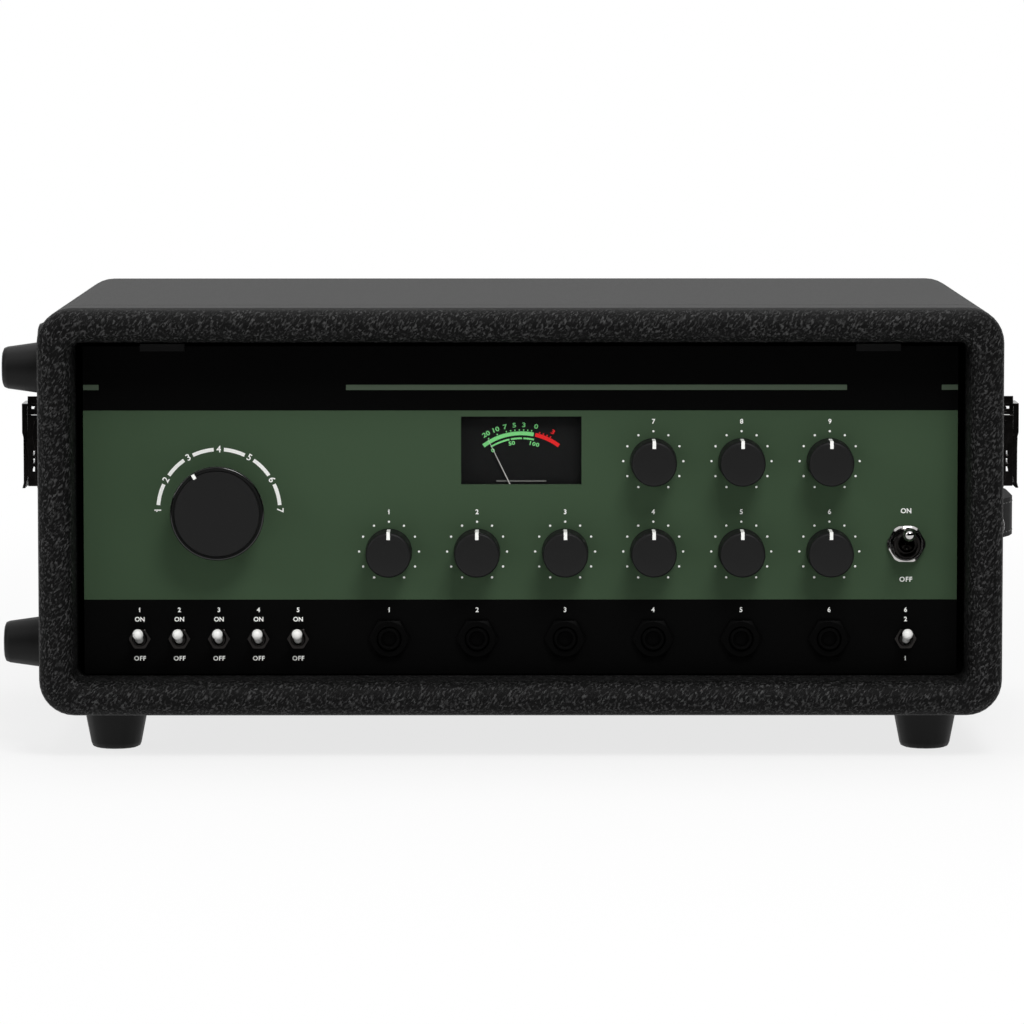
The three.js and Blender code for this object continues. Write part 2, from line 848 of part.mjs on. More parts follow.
// A cap covers one end of the strap: low at its outer end, open below and towards the strap.
function endCap(side) {
  const wallY = handleLength / 2;
  const mouthY = wallY - capLength;
  const shape = outlineOf([
    [caseSideX + seatGap, mouthY],
    [caseSideX + capHeight, mouthY],
    [caseSideX + capHeight, mouthY + capHeight],
    [caseSideX + capEndHeight + capWall, wallY - capWall],
    [caseSideX + capEndHeight, wallY],
    [caseSideX + seatGap, wallY],
  ].map(([x, y]) => [x, handleCentreY + side * y]));
  const halfWidth = strapWidth / 2 + seatGap;
  const slotEnds = [handleCentreY + side * (mouthY - cutOverrun), handleCentreY + side * (wallY - capWall)];
  const slot = block(
    caseSideX - cutOverrun, caseSideX + strapEndOut + seatGap,
    Math.min(...slotEnds), Math.max(...slotEnds),
    handleCentreZ - halfWidth, handleCentreZ + halfWidth,
  );
  return cut(lying(shape, handleCentreZ - capWidth / 2, capWidth), slot);
}

addPiece('handle_strap', 'vinyl', strap());
addPiece('handle_cap_front', 'darkNickel', endCap(-1));
addPiece('handle_cap_rear', 'darkNickel', endCap(1));

// Front panel with its holes
const knobPlaces = [
  ['knob_input_volume', columns[0], knobRowZ],
  ['knob_chorus_rate', columns[1], knobRowZ],
  ['knob_chorus_depth', columns[2], knobRowZ],
  ['knob_reverb_volume', columns[3], knobRowZ],
  ['knob_speed', columns[4], knobRowZ],
  ['knob_echo_volume', columns[5], knobRowZ],
  ['knob_bass', columns[3], upperKnobRowZ],
  ['knob_treble', columns[4], upperKnobRowZ],
  ['knob_feedback', columns[5], upperKnobRowZ],
];
const togglePlaces = [
  ['direct_toggle', toggleColumns[0]],
  ['motor_toggle', toggleColumns[1]],
  ['sound_on_sound_toggle', toggleColumns[2]],
  ['echo_toggle', toggleColumns[3]],
  ['chorus_toggle', toggleColumns[4]],
  ['level_toggle', powerX],
];
function frontPanel() {
  const shape = outlineOf([
    [-panelSideX, panelBottomZ],
    [panelSideX, panelBottomZ],
    [panelSideX, panelTopZ],
    [-panelSideX, panelTopZ],
  ]);
  for (const [, x, z] of knobPlaces) {
    shape.holes.push(roundHole(x, z, bushRadius + 2 * seatGap, 8));
  }
  for (const [, x] of togglePlaces) {
    shape.holes.push(roundHole(x, switchRowZ, toggleBushRadius + 2 * seatGap, 8));
  }
  for (const x of columns) {
    shape.holes.push(roundHole(x, switchRowZ, jackBushRadius + 2 * seatGap, 8));
  }
  shape.holes.push(roundHole(modeX, modeZ, bushRadius + 2 * seatGap, 8));
  shape.holes.push(roundHole(powerX, powerZ, powerBushRadius + 2 * seatGap, 10));
  const half = meterWindowWidth / 2;
  shape.holes.push(new THREE.Path([
    new THREE.Vector2(meterCentreX - half, meterBottomZ),
    new THREE.Vector2(meterCentreX + half, meterBottomZ),
    new THREE.Vector2(meterCentreX + half, meterBottomZ + meterWindowHeight),
    new THREE.Vector2(meterCentreX - half, meterBottomZ + meterWindowHeight),
  ]));
  return standing(shape, panelRecess, panelThickness);
}

addPiece('front_panel', 'panelPaint', frontPanel());

// Knobs: each sits on a shaft that reaches up into its bore.
function knobProfile(radius, frontRadius, height, edge, skirt, boreDepth) {
  const bore = shaftRadius + seatGap;
  return [
    [0, boreDepth],
    [bore, boreDepth],
    [bore, knobStandOff],
    [radius, knobStandOff],
    [radius, skirt],
    [frontRadius + knobEdgeTaperShare * edge, height - edge],
    [frontRadius - edge, height],
    [0, height],
  ];
}

for (const [name, x, z] of knobPlaces) {
  const boreDepth = shaftLength + seatGap;
  const profile = knobProfile(knobRadius, knobFrontRadius, knobHeight, knobEdge, knobSkirt, boreDepth);
  addPiece(name, 'knobPlastic', turnedToFront(profile, 18).translate(x, panelRecess, z));
}

const modeProfile = knobProfile(
  modeKnobRadius,
  modeKnobFrontRadius,
  modeKnobHeight,
  modeKnobEdge,
  modeKnobSkirt,
  modeShaftLength + seatGap,
);
addPiece('mode_knob', 'knobPlastic', turnedToFront(modeProfile, 32).translate(modeX, panelRecess, modeZ));

// Behind the panel: rotary pots, and a rotary switch of stacked wafers
function potProfile(length, bodyRadius, bodyDepth) {
  const back = -(panelThickness + seatGap);
  return [
    [0, back - bodyDepth],
    [bodyRadius, back - bodyDepth],
    [bodyRadius, back],
    [bushRadius, back],
    [bushRadius, 0],
    [shaftRadius, 0],
    [shaftRadius, length],
    [0, length],
  ];
}

function controlPot(x, z) {
  return turnedToFront(potProfile(shaftLength, potRadius, potDepth), 8).translate(x, panelRecess, z);
}

function modeSwitch() {
  const waferPitch = modeSwitchDepth / (modeWaferCount + 1);
  const profile = potProfile(modeShaftLength, modeSpacerRadius, modeSwitchDepth);
  const core = turnedToFront(profile, 10).translate(modeX, panelRecess, modeZ);
  const wafers = [];
  for (let wafer = 0; wafer < modeWaferCount; wafer += 1) {
    const depth = panelThickness + seatGap + wafer * waferPitch;
    const disc = turnedToFront(rod(modeSwitchRadius, modeWaferThickness), 12);
    wafers.push(disc.translate(modeX, panelRecess + depth + modeWaferThickness, modeZ));
  }
  return join(core, ...wafers);
}

// Toggle switches: a body behind the panel, a threaded bush through it, a nut and a bat lever
function toggleBody(x, z, width, height, depth, bushLength, outerRadius, nutFlats, nutThickness) {
  const backY = panelBackY + seatGap;
  const body = block(x - width / 2, x + width / 2, backY, backY + depth, z - height / 2, z + height / 2);
  const bush = turnedToFront(rod(outerRadius, bushLength + panelThickness + 2 * seatGap), 12);
  return join(body, bush.translate(x, backY + seatGap, z), nut(x, z, nutFlats, nutThickness));
}

function boreBehind(x, z, mouthLength, radius, depth) {
  const bore = turnedToFront(rod(radius, depth + cutOverrun), 12);
  return bore.translate(x, panelRecess - mouthLength + depth, z);
}

function nut(x, z, flats, thickness) {
  return standing(hexOutline(x, z, flats), panelRecess - seatGap - thickness, thickness);
}

function leverProfile(ball, neck, tip, length) {
  const ballWaist = ball * Math.SQRT1_2;
  return [
    [0, -ball],
    [ballWaist, -ballWaist],
    [ball, 0],
    [ballWaist, ballWaist],
    [neck, leverNeckShare * ball],
    [(neck + tip) / 2, leverWaistShare * length],
    [tip, length - leverCrownShare * tip],
    [tip, length - tip / 2],
    [tip / 2, length],
    [0, length],
  ];
}

function batLever(x, z, pivotY, profile) {
  return turnedToFront(profile, 8).rotateX(-degrees(leverTilt)).translate(x, pivotY, z);
}

const toggleMouthDepth = leverPivotDepth + leverBallRadius + seatGap;
const powerMouthDepth = powerPivotDepth + powerBallRadius + seatGap;
const powerBody = toggleBody(
  powerX, powerZ, powerBodyWidth, powerBodyHeight, powerBodyDepth,
  powerBushLength, powerBushRadius, powerNutFlats, powerNutThickness,
);
const powerBore = boreBehind(powerX, powerZ, powerBushLength, powerMouthRadius, powerMouthDepth);
addPiece('power_switch', 'chrome', cut(powerBody, powerBore));

const togglePivotY = panelRecess - toggleBushLength + leverPivotDepth;
const powerPivotY = panelRecess - powerBushLength + powerPivotDepth;
for (const [name, x] of togglePlaces) {
  const profile = leverProfile(leverBallRadius, leverNeckRadius, leverTipRadius, leverLength);
  addPiece(`${name}_lever`, 'chrome', batLever(x, switchRowZ, togglePivotY, profile));
}
const powerLeverProfile = leverProfile(powerBallRadius, powerNeckRadius, powerTipRadius, powerLeverLength);
addPiece('power_toggle_lever', 'chrome', batLever(powerX, powerZ, powerPivotY, powerLeverProfile));

// Jack sockets: a moulded body with a bore that runs through the bush to the front
function jackSocket(x) {
  const backY = panelBackY + seatGap;
  const [halfWidth, halfHeight] = [jackBodyWidth / 2, jackBodyHeight / 2];
  const [z0, z1] = [switchRowZ - halfHeight, switchRowZ + halfHeight];
  const body = block(x - halfWidth, x + halfWidth, backY, backY + jackBodyDepth, z0, z1);
  const bush = turnedToFront(rod(jackBushRadius, jackBushLength + panelThickness + 2 * seatGap), 12);
  return join(
    body,
    bush.translate(x, backY + seatGap, switchRowZ),
    nut(x, switchRowZ, jackNutFlats, jackNutThickness),
  );
}

// Control board: it carries the pots, the mode switch, the small toggle switches and the jack sockets,
// and leaves room for the meter and the power switch.
function controlBoard() {
  const frontY = panelBackY + 2 * seatGap + potDepth - controlBoardThickness;
  const reach = panelSideX - controlBoardSideGap;
  const plate = block(
    -reach, reach,
    frontY, frontY + controlBoardThickness,
    panelBottomZ + controlBoardRise, panelTopZ - controlBoardTopGap,
  );
  const meterHalf = meterWindowWidth / 2 + 2 * meterWall + controlBoardClearance;
  const meterRoom = block(
    meterCentreX - meterHalf, meterCentreX + meterHalf,
    0, caseDepth,
    meterPivotZ - needleTail - 2 * meterWall - controlBoardClearance, caseTopZ,
  );
  const powerHalf = powerBodyHeight / 2 + controlBoardClearance;
  const powerRoom = block(
    powerX - powerBodyWidth / 2 - controlBoardClearance, caseSideX,
    0, caseDepth,
    powerZ - powerHalf, powerZ + powerHalf,
  );
  const solid = join(
    cut(plate, meterRoom, powerRoom),
    modeSwitch(),
    ...knobPlaces.map(([, x, z]) => controlPot(x, z)),
    ...togglePlaces.map(([, x]) => toggleBody(
      x, switchRowZ, toggleBodyWidth, toggleBodyHeight, toggleBodyDepth,
      toggleBushLength, toggleBushRadius, toggleNutFlats, toggleNutThickness,
    )),
    ...columns.map((x) => jackSocket(x)),
  );
  const toggleBores = togglePlaces.map(([, x]) => (
    boreBehind(x, switchRowZ, toggleBushLength, toggleMouthRadius, toggleMouthDepth)
  ));
  const jackBores = columns.map((x) => (
    boreBehind(x, switchRowZ, jackBushLength, jackBoreRadius, jackBoreDepth)
  ));
  return cut(solid, ...toggleBores, ...jackBores);
}

addPiece('control_board', 'circuitLaminate', controlBoard());

// Level meter: a housing behind the panel, a clear window in its cut-out, and a needle between them
function meterCase() {
  const half = meterWindowWidth / 2 + 2 * meterWall;
  const [x0, x1] = [meterCentreX - half, meterCentreX + half];
  const z0 = meterPivotZ - needleTail - 2 * meterWall;
  const z1 = meterBottomZ + meterWindowHeight + 2 * meterWall;
  const frontY = panelBackY + seatGap;
  const body = block(x0, x1, frontY, frontY + meterDepth, z0, z1);
  const room = block(
    x0 + meterWall, x1 - meterWall,
    frontY - cutOverrun, frontY + meterNeedleRoom,
    z0 + meterWall, z1 - meterWall,
  );
  const boss = turnedToFront(rod(meterBossRadius, meterBossHeight + seatGap), 12);
  const dialY = frontY + meterNeedleRoom;
  return join(cut(body, room), boss.translate(meterCentreX, dialY + seatGap, meterPivotZ));
}

function meterNeedle() {
  const needleBackY = panelBackY + seatGap + meterNeedleRoom - meterBossHeight - seatGap;
  const shape = outlineOf([
    [-needleRootWidth / 2, -needleTail],
    [needleRootWidth / 2, -needleTail],
    [needleTipWidth / 2, needleReach],
    [-needleTipWidth / 2, needleReach],
  ]);
  const blade = standing(shape, -needleThickness, needleThickness);
  const hub = turnedToFront(rod(needleHubRadius, 2 * needleThickness), 12);
  return join(blade, hub)
    .rotateY(-degrees(needleAngle))
    .translate(meterCentreX, needleBackY, meterPivotZ);
}

function meterWindow() {
  const half = meterWindowWidth / 2 - seatGap;
  const [z0, z1] = [meterBottomZ + seatGap, meterBottomZ + meterWindowHeight - seatGap];
  return block(
    meterCentreX - half, meterCentreX + half, panelBackY - meterGlassThickness, panelBackY, z0, z1,
  );
}

addPiece('meter_case', 'blackPlastic', meterCase());
addPiece('meter_window', 'clearPlastic', meterWindow());
addPiece('meter_needle', 'needlePaint', meterNeedle());

// Chassis: an open tray of folded sheet, its front wall a frame behind the panel
function chassis() {
  const frontY = panelBackY + seatGap;
  const topZ = panelTopZ - chassisTopDrop;
  const inner = chassisSideX - sheetThickness;
  const outer = block(-chassisSideX, chassisSideX, frontY, chassisBackY, chassisBottomZ, chassisTopZ);
  const room = block(
    -inner, inner,
    frontY + sheetThickness, chassisBackY - sheetThickness,
    chassisFloorZ, chassisTopZ + cutOverrun,
  );
  const upper = block(
    -chassisSideX, chassisSideX,
    frontY, frontY + sheetThickness,
    chassisTopZ - cutOverrun, topZ,
  );
  const window = block(
    -(chassisSideX - chassisPost), chassisSideX - chassisPost,
    frontY - cutOverrun, frontY + sheetThickness + seatGap,
    chassisBottomZ + chassisSill, topZ - chassisHeader,
  );
  const clips = [-1, 1].flatMap((side) => {
    const centreX = side * clipPlaceShare * panelSideX;
    const [x0, x1] = [centreX - clipWidth / 2, centreX + clipWidth / 2];
    const hookY = panelRecess - seatGap - clipThickness;
    const bridgeZ = panelTopZ + seatGap;
    return [
      block(x0, x1, hookY, frontY + sheetThickness, bridgeZ, bridgeZ + clipThickness),
      block(x0, x1, hookY, hookY + clipThickness, panelTopZ - clipOverlap, bridgeZ + clipThickness),
      block(x0, x1, frontY, frontY + sheetThickness, topZ - seatGap, bridgeZ + clipThickness),
    ];
  });
  return cut(join(cut(join(outer, upper), room, window), ...clips), inletOpening());
}

addPiece('chassis', 'zincSheet', chassis());

// Tape deck: a plate on the chassis walls with the capstan bearing, guide posts, and the low walls of
// the loop tray, which has a slot at each end of its front wall for the tape
const tapeHalf = tapeThickness / 2;
const tapeTurn = guideRadius + seatGap + tapeHalf;
const tapeLineY = guideY - tapeTurn;
const tapeBottomZ = deckTopZ + tapeRise;
const capstanY = tapeLineY + tapeHalf + seatGap + capstanRadius;
const rollerY = tapeLineY - tapeHalf - seatGap - rollerRadius;

const trayTopZ = deckTopZ + trayHeight;
const tapeSideX = guideX + tapeTurn;

function trayWalls() {
  const outer = block(-trayHalfWidth, trayHalfWidth, trayFrontY, trayBackY, deckTopZ - seatGap, trayTopZ);
  const room = block(
    -trayHalfWidth + trayWall, trayHalfWidth - trayWall,
    trayFrontY + trayWall, trayBackY - trayWall,
    deckBottomZ, trayTopZ + cutOverrun,
  );
  const slots = [-1, 1].map((end) => block(
    end * tapeSideX - traySlot / 2, end * tapeSideX + traySlot / 2,
    trayFrontY - cutOverrun, trayFrontY + trayWall + seatGap,
    deckTopZ, trayTopZ + cutOverrun,
  ));
  return cut(outer, room, ...slots);
}

function tapeDeck() {
  const plate = block(-deckSideX, deckSideX, deckFrontY, chassisBackY - deckSideGap, deckBottomZ, deckTopZ);
  const posts = [-1, 1].map((end) => (
    turnedUp(rod(guideRadius, guideHeight + seatGap), 16).translate(end * guideX, guideY, deckTopZ - seatGap)
  ));
  const bearing = turnedUp(rod(bearingRadius, bearingDrop + deckThickness / 2), 16);
  const armPost = turnedUp(rod(armPivotRadius, 2 * rollerRise + seatGap), 12);
  const bore = turnedUp(rod(capstanRadius + seatGap, bearingDrop + deckThickness + 2 * cutOverrun), 12);
  const body = join(
    plate,
    trayWalls(),
    ...posts,
    bearing.translate(capstanX, capstanY, deckBottomZ - bearingDrop),
    armPost.translate(armX, armY, deckTopZ - seatGap),
  );
  return cut(body, bore.translate(capstanX, capstanY, deckBottomZ - bearingDrop - cutOverrun));
}

addPiece('tape_deck', 'zincSheet', tapeDeck());

function trayCover() {
  const bottomZ = trayTopZ + seatGap;
  const plate = block(
    -trayHalfWidth - coverLip, trayHalfWidth + coverLip,
    trayFrontY - coverLip, trayBackY + coverLip,
    bottomZ, bottomZ + coverThickness,
  );
  const screwX = trayHalfWidth - coverScrewInset;
  const screws = [];
  for (const x of [-screwX, screwX]) {
    for (const y of [trayFrontY + coverScrewInset, trayBackY - coverScrewInset]) {
      const screw = turnedUp(rod(coverScrewRadius, coverScrewHeight), 12);
      screws.push(screw.translate(x, y, bottomZ + coverThickness / 2));
    }
  }
  return join(plate, ...screws);
}

addPiece('tray_cover', 'clearPlastic', trayCover());

// Tape loop: one endless ribbon on edge, along the heads, round the guides and folded in the tray
function tapePath() {
  const points = [];
  const arc = (x, y, radius, from, to, steps) => {
    for (let step = 0; step <= steps; step += 1) {
      const angle = degrees(from + ((to - from) * step) / steps);
      points.push([x + radius * Math.cos(angle), y + radius * Math.sin(angle)]);
    }
  };
  arc(guideX, guideY, tapeTurn, -90, 0, 4);
  const spacing = (2 * tapeSideX) / (tapeRunCount - 1);
  const fold = spacing / 2;
  const variation = tapeFoldVariationShare * (trayBackY - trayFrontY);
  for (let run = 0; run < tapeRunCount - 1; run += 1) {
    const centreX = tapeSideX - spacing * (run + 0.5);
    const vary = variation * Math.abs(Math.sin(tapeFoldPhaseShare * run));
    const inset = fold + tapeFoldRoom + vary;
    if (run % 2 === 0) {
      arc(centreX, trayBackY - inset, fold, 0, 180, 6);
    } else {
      arc(centreX, trayFrontY + inset, fold, 360, 180, 6);
    }
  }
  arc(-guideX, guideY, tapeTurn, 180, 270, 4);
  return points;
}

function tapeLoop() {
  const path = tapePath();
  const side = (offset) => path.map(([x, y], index) => {
    const before = path[(index + path.length - 1) % path.length];
    const after = path[(index + 1) % path.length];
    const along = new THREE.Vector2(after[0] - before[0], after[1] - before[1]).normalize();
    return new THREE.Vector2(x + offset * along.y, y - offset * along.x);
  });
  const shape = new THREE.Shape(side(tapeHalf));
  shape.holes.push(new THREE.Path(side(-tapeHalf)));
  return lying(shape, tapeBottomZ, tapeWidth);
}

addPiece('tape_loop', 'tapeFilm', tapeLoop());

// Heads: erase, record and playback, each with a rounded nose against the tape, on one bridge
function tapeHeads() {
  const heads = [];
  const faceY = tapeLineY - tapeHalf - seatGap;
  const bridgeTopZ = deckTopZ + seatGap + bridgeThickness;
  const bridgeX0 = -guideX + bridgeFromGuide;
  const bridgeX1 = capstanX - bridgeFromCapstan;
  const headPitch = (bridgeX1 - bridgeX0) / headCount;
  for (let index = 0; index < headCount; index += 1) {
    const x = bridgeX0 + (index + 0.5) * headPitch;
    const half = headWidth / 2;
    const shape = new THREE.Shape();
    shape.moveTo(x - half, faceY - headDepth);
    shape.lineTo(x + half, faceY - headDepth);
    shape.lineTo(x + half, faceY - headNose);
    shape.quadraticCurveTo(x + half / 2, faceY, x, faceY);
    shape.quadraticCurveTo(x - half / 2, faceY, x - half, faceY - headNose);
    shape.closePath();
    heads.push(lying(shape, bridgeTopZ - seatGap, headHeight, 3));
  }
  const bridge = block(
    bridgeX0, bridgeX1,
    faceY - headNose - bridgeDepth, faceY - headNose,
    deckTopZ + seatGap, bridgeTopZ,
  );
  return join(bridge, ...heads);
}

addPiece('tape_heads', 'steel', tapeHeads());

// Capstan: a polished shaft on a heavy flywheel under the deck
const flywheelTopZ = deckBottomZ - flywheelDrop;
const flywheelBottomZ = flywheelTopZ - flywheelThickness;

function capstanFlywheel() {
  const shaftTop = deckTopZ + capstanTop - flywheelBottomZ;
  const shaftEnd = -(motorBossHeight + capstanTail - 2 * seatGap);
  const webTop = (flywheelThickness + flywheelWeb) / 2;
  const profile = [
    [0, shaftEnd],
    [capstanRadius, shaftEnd],
    [capstanRadius, 0],
    [flywheelRadius, 0],
    [flywheelRadius, flywheelThickness],
    [flywheelRadius - flywheelRim, flywheelThickness],
    [flywheelRadius - flywheelRim, webTop],
    [flywheelHubRadius, webTop],
    [flywheelHubRadius, flywheelThickness],
    [capstanRadius, flywheelThickness],
    [capstanRadius, shaftTop],
    [0, shaftTop],
  ];
  return turnedUp(profile, 18).translate(capstanX, capstanY, flywheelBottomZ);
}

addPiece('capstan_flywheel', 'brass', capstanFlywheel());

// Pinch roller on its swinging arm
const armBottomZ = deckTopZ + rollerRise / 2;
const rollerBottomZ = armBottomZ + armThickness + seatGap;

function pinchRoller() {
  const bore = rollerPinRadius + seatGap;
  const profile = [
    [bore, 0],
    [rollerRadius, 0],
    [rollerRadius, rollerHeight],
    [bore, rollerHeight],
    [bore, 0],
  ];
  return turnedUp(profile, 18).translate(capstanX, rollerY, rollerBottomZ);
}

function pinchArm() {
  const half = armWidth / 2;
  const along = new THREE.Vector2(armX - capstanX, armY - rollerY);
  const angle = along.angle();
  const shape = new THREE.Shape();
  shape.absarc(0, 0, half, Math.PI / 2, 1.5 * Math.PI, false);
  shape.absarc(along.length(), 0, half, -Math.PI / 2, Math.PI / 2, false);
  shape.closePath();
  const bar = lying(shape, armBottomZ, armThickness, 6).rotateZ(angle).translate(capstanX, rollerY, 0);
  const pin = turnedUp(rod(rollerPinRadius, rollerHeight + armThickness + seatGap), 12);
  const hub = turnedUp(rod(half, rollerHeight / 2), 14);
  const hole = turnedUp(rod(armPivotRadius + seatGap, rollerHeight / 2 + cutOverrun), 12);
  const body = join(
    bar,
    pin.translate(capstanX, rollerY, armBottomZ),
    hub.translate(armX, armY, armBottomZ),
  );
  return cut(body, hole.translate(armX, armY, armBottomZ - cutOverrun));
}

addPiece('pinch_roller', 'rubber', pinchRoller());
addPiece('pinch_arm', 'steel', pinchArm());

// Motor: it hangs from the deck on posts under the flywheel and turns the capstan directly
function motor() {
  const topZ = flywheelBottomZ - seatGap - motorBossHeight;
  const can = turnedUp(rod(motorRadius, motorHeight), 16).translate(0, 0, topZ - motorHeight);
  const boss = turnedUp(rod(flywheelHubRadius, motorBossHeight + seatGap), 14);
  const reach = flywheelRadius + 2 * motorPostRadius;
  const flangeOutline = roundedOutline(-reach, reach, -reach, reach, 2 * motorPostRadius);
  const flange = lying(flangeOutline, topZ - motorFlange, motorFlange, 3);
  const posts = [];
  const length = deckBottomZ - seatGap - topZ + motorFlange / 2;
  for (const across of [-1, 1]) {
    for (const along of [-1, 1]) {
      const post = turnedUp(rod(motorPostRadius, length), 8);
      const place = reach - motorPostRadius - seatGap;
      posts.push(post.translate(across * place, along * place, topZ - motorFlange / 2));
    }
  }
  const bore = turnedUp(rod(capstanRadius + seatGap, motorBossHeight + capstanTail + cutOverrun), 12);
  const body = join(can, boss.translate(0, 0, topZ - seatGap), flange, ...posts);
  return cut(body, bore.translate(0, 0, topZ - capstanTail)).translate(capstanX, capstanY, 0);
}

addPiece('motor', 'steel', motor());

// Power transformer: a stack of laminations with its coil, on two folded feet
const transformerX = chassisSideX - transformerFromSide;
const transformerY = chassisBackY - transformerFromBack;

function powerTransformer() {
  const [halfWidth, halfDepth] = [transformerWidth / 2, transformerDepth / 2];
  const core = block(
    transformerX - halfWidth, transformerX + halfWidth,
    transformerY - halfDepth, transformerY + halfDepth,
    floorSeatZ, floorSeatZ + transformerHeight,
  );
  const coilWidth = transformerWidth * coilShare;
  const coilHeight = transformerHeight * coilShare;
  const coilZ = floorSeatZ + (transformerHeight - coilHeight) / 2;
  const coilOutline = roundedOutline(
    transformerX - coilWidth / 2, transformerX + coilWidth / 2,
    coilZ, coilZ + coilHeight,
    coilOverhang / 2,
  );
  const coilFrontY = transformerY - halfDepth - coilOverhang;
  const coil = standing(coilOutline, coilFrontY, transformerDepth + 2 * coilOverhang, 3);
  const feet = block(
    transformerX - halfWidth - transformerFoot, transformerX + halfWidth + transformerFoot,
    transformerY - halfDepth / 2, transformerY + halfDepth / 2,
    floorSeatZ, floorSeatZ + sheetThickness,
  );
  return join(core, coil, feet);
}

// Reverb tank: a steel pan turned over on its flange
function reverbTank() {
  const x0 = -chassisSideX + tankFromSide;
  const x1 = transformerX - transformerWidth / 2 - transformerFoot - tankFromTransformer;
  const y1 = chassisBackY - tankFromBack;
  const y0 = y1 - tankDepthShare * chassisRoomDepth;
  const pan = block(x0 + tankFlange, x1 - tankFlange, y0, y1, floorSeatZ, floorSeatZ + tankHeight);
  const flange = block(x0, x1, y0, y1, floorSeatZ, floorSeatZ + sheetThickness);
  const room = block(
    x0 + tankFlange + tankWall, x1 - tankFlange - tankWall,
    y0 + tankWall, y1 - tankWall,
    floorSeatZ - cutOverrun, floorSeatZ + tankHeight - tankWall,
  );
  return cut(join(pan, flange), room);
}

// Circuit board on standoffs, with its larger parts
function circuitBoard() {
  const [x0, x1] = [-chassisSideX + boardFromLeft, chassisSideX - boardFromRight];
  const y0 = panelBackY + boardFromPanel;
  const y1 = y0 + boardDepthShare * chassisRoomDepth;
  const middleY = (y0 + y1) / 2;
  const bottomZ = floorSeatZ + boardRise;
  const topZ = bottomZ + circuitThickness;
  const board = block(x0, x1, y0, y1, bottomZ, topZ);
  const inset = 2 * standoffRadius;
  const parts = [];
  for (const x of [x0 + inset, x1 - inset]) {
    for (const y of [y0 + inset, y1 - inset]) {
      const standoff = turnedUp(rod(standoffRadius, boardRise + circuitThickness / 2), 6);
      parts.push(standoff.translate(x, y, floorSeatZ));
    }
  }
  for (let index = 0; index < capacitorCount; index += 1) {
    const can = turnedUp(rod(capacitorRadius, capacitorHeight + circuitThickness), 10);
    parts.push(can.translate(x0 + (index + 2) * capacitorPitch, y1 - 2 * capacitorRadius, bottomZ));
  }
  const chipPitch = (x1 - x0) / (chipCount + 1);
  for (let index = 0; index < chipCount; index += 1) {
    const x = x0 + (index + 1) * chipPitch;
    parts.push(block(
      x - chipWidth / 2, x + chipWidth / 2,
      middleY - chipDepth / 2, middleY + chipDepth / 2,
      bottomZ, topZ + chipHeight,
    ));
  }
  return join(board, ...parts);
}

addPiece('power_transformer', 'steel', powerTransformer());
addPiece('reverb_tank', 'zincSheet', reverbTank());
addPiece('circuit_board', 'circuitLaminate', circuitBoard());

// Mains inlet: a flanged socket in the back board, its three pins in a deep recess
function mainsInlet() {
  const centreZ = caseBottomZ + inletRise;
  const faceY = caseDepth + seatGap;
  const flange = roundedOutline(
    inletX - inletFlangeWidth / 2, inletX + inletFlangeWidth / 2,
    centreZ - inletFlangeHeight / 2, centreZ + inletFlangeHeight / 2,
    inletFlangeThickness,
  );
  const outerY = faceY + inletFlangeThickness;
  const body = block(
    inletX - inletBodyWidth / 2, inletX + inletBodyWidth / 2,
    outerY - inletBodyDepth, faceY + seatGap,
    centreZ - inletBodyHeight / 2, centreZ + inletBodyHeight / 2,
  );
  const recess = block(
    inletX - inletRecessWidth / 2, inletX + inletRecessWidth / 2,
    outerY - inletRecessDepth, outerY + cutOverrun,
    centreZ - inletRecessHeight / 2, centreZ + inletRecessHeight / 2,
  );
  const pins = [-1, 0, 1].map((place) => {
    const x = inletX + place * inletPinSpread;
    const z = centreZ + (place === 0 ? inletPinOffset : -inletPinOffset);
    const pinFootY = outerY - inletRecessDepth - seatGap;
    return block(
      x - inletPinWidth / 2, x + inletPinWidth / 2,
      pinFootY, pinFootY + inletPinLength,
      z - inletPinHeight / 2, z + inletPinHeight / 2,
    );
  });
  return join(cut(join(standing(flange, faceY, inletFlangeThickness), body), recess), ...pins);
}

addPiece('rear_inlet', 'blackPlastic', mainsInlet());

// The origin is on the surface that the unit stands on, under the middle of its outline.
const bounds = new THREE.Box3().setFromObject(unit);
const middle = bounds.getCenter(new THREE.Vector3());
unit.position.set(-middle.x, -middle.y, -bounds.min.z);

export default unit;
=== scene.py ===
# %% [markdown]
# # A tape echo unit in its carrying case
# The solids of the unit are loaded first. They are true to size and place, and everything below either
# gives one of them its real surface or puts a finer piece in its stead.

# %% Load the solids
import math
import json

import bpy
from mathutils import Matrix, Vector

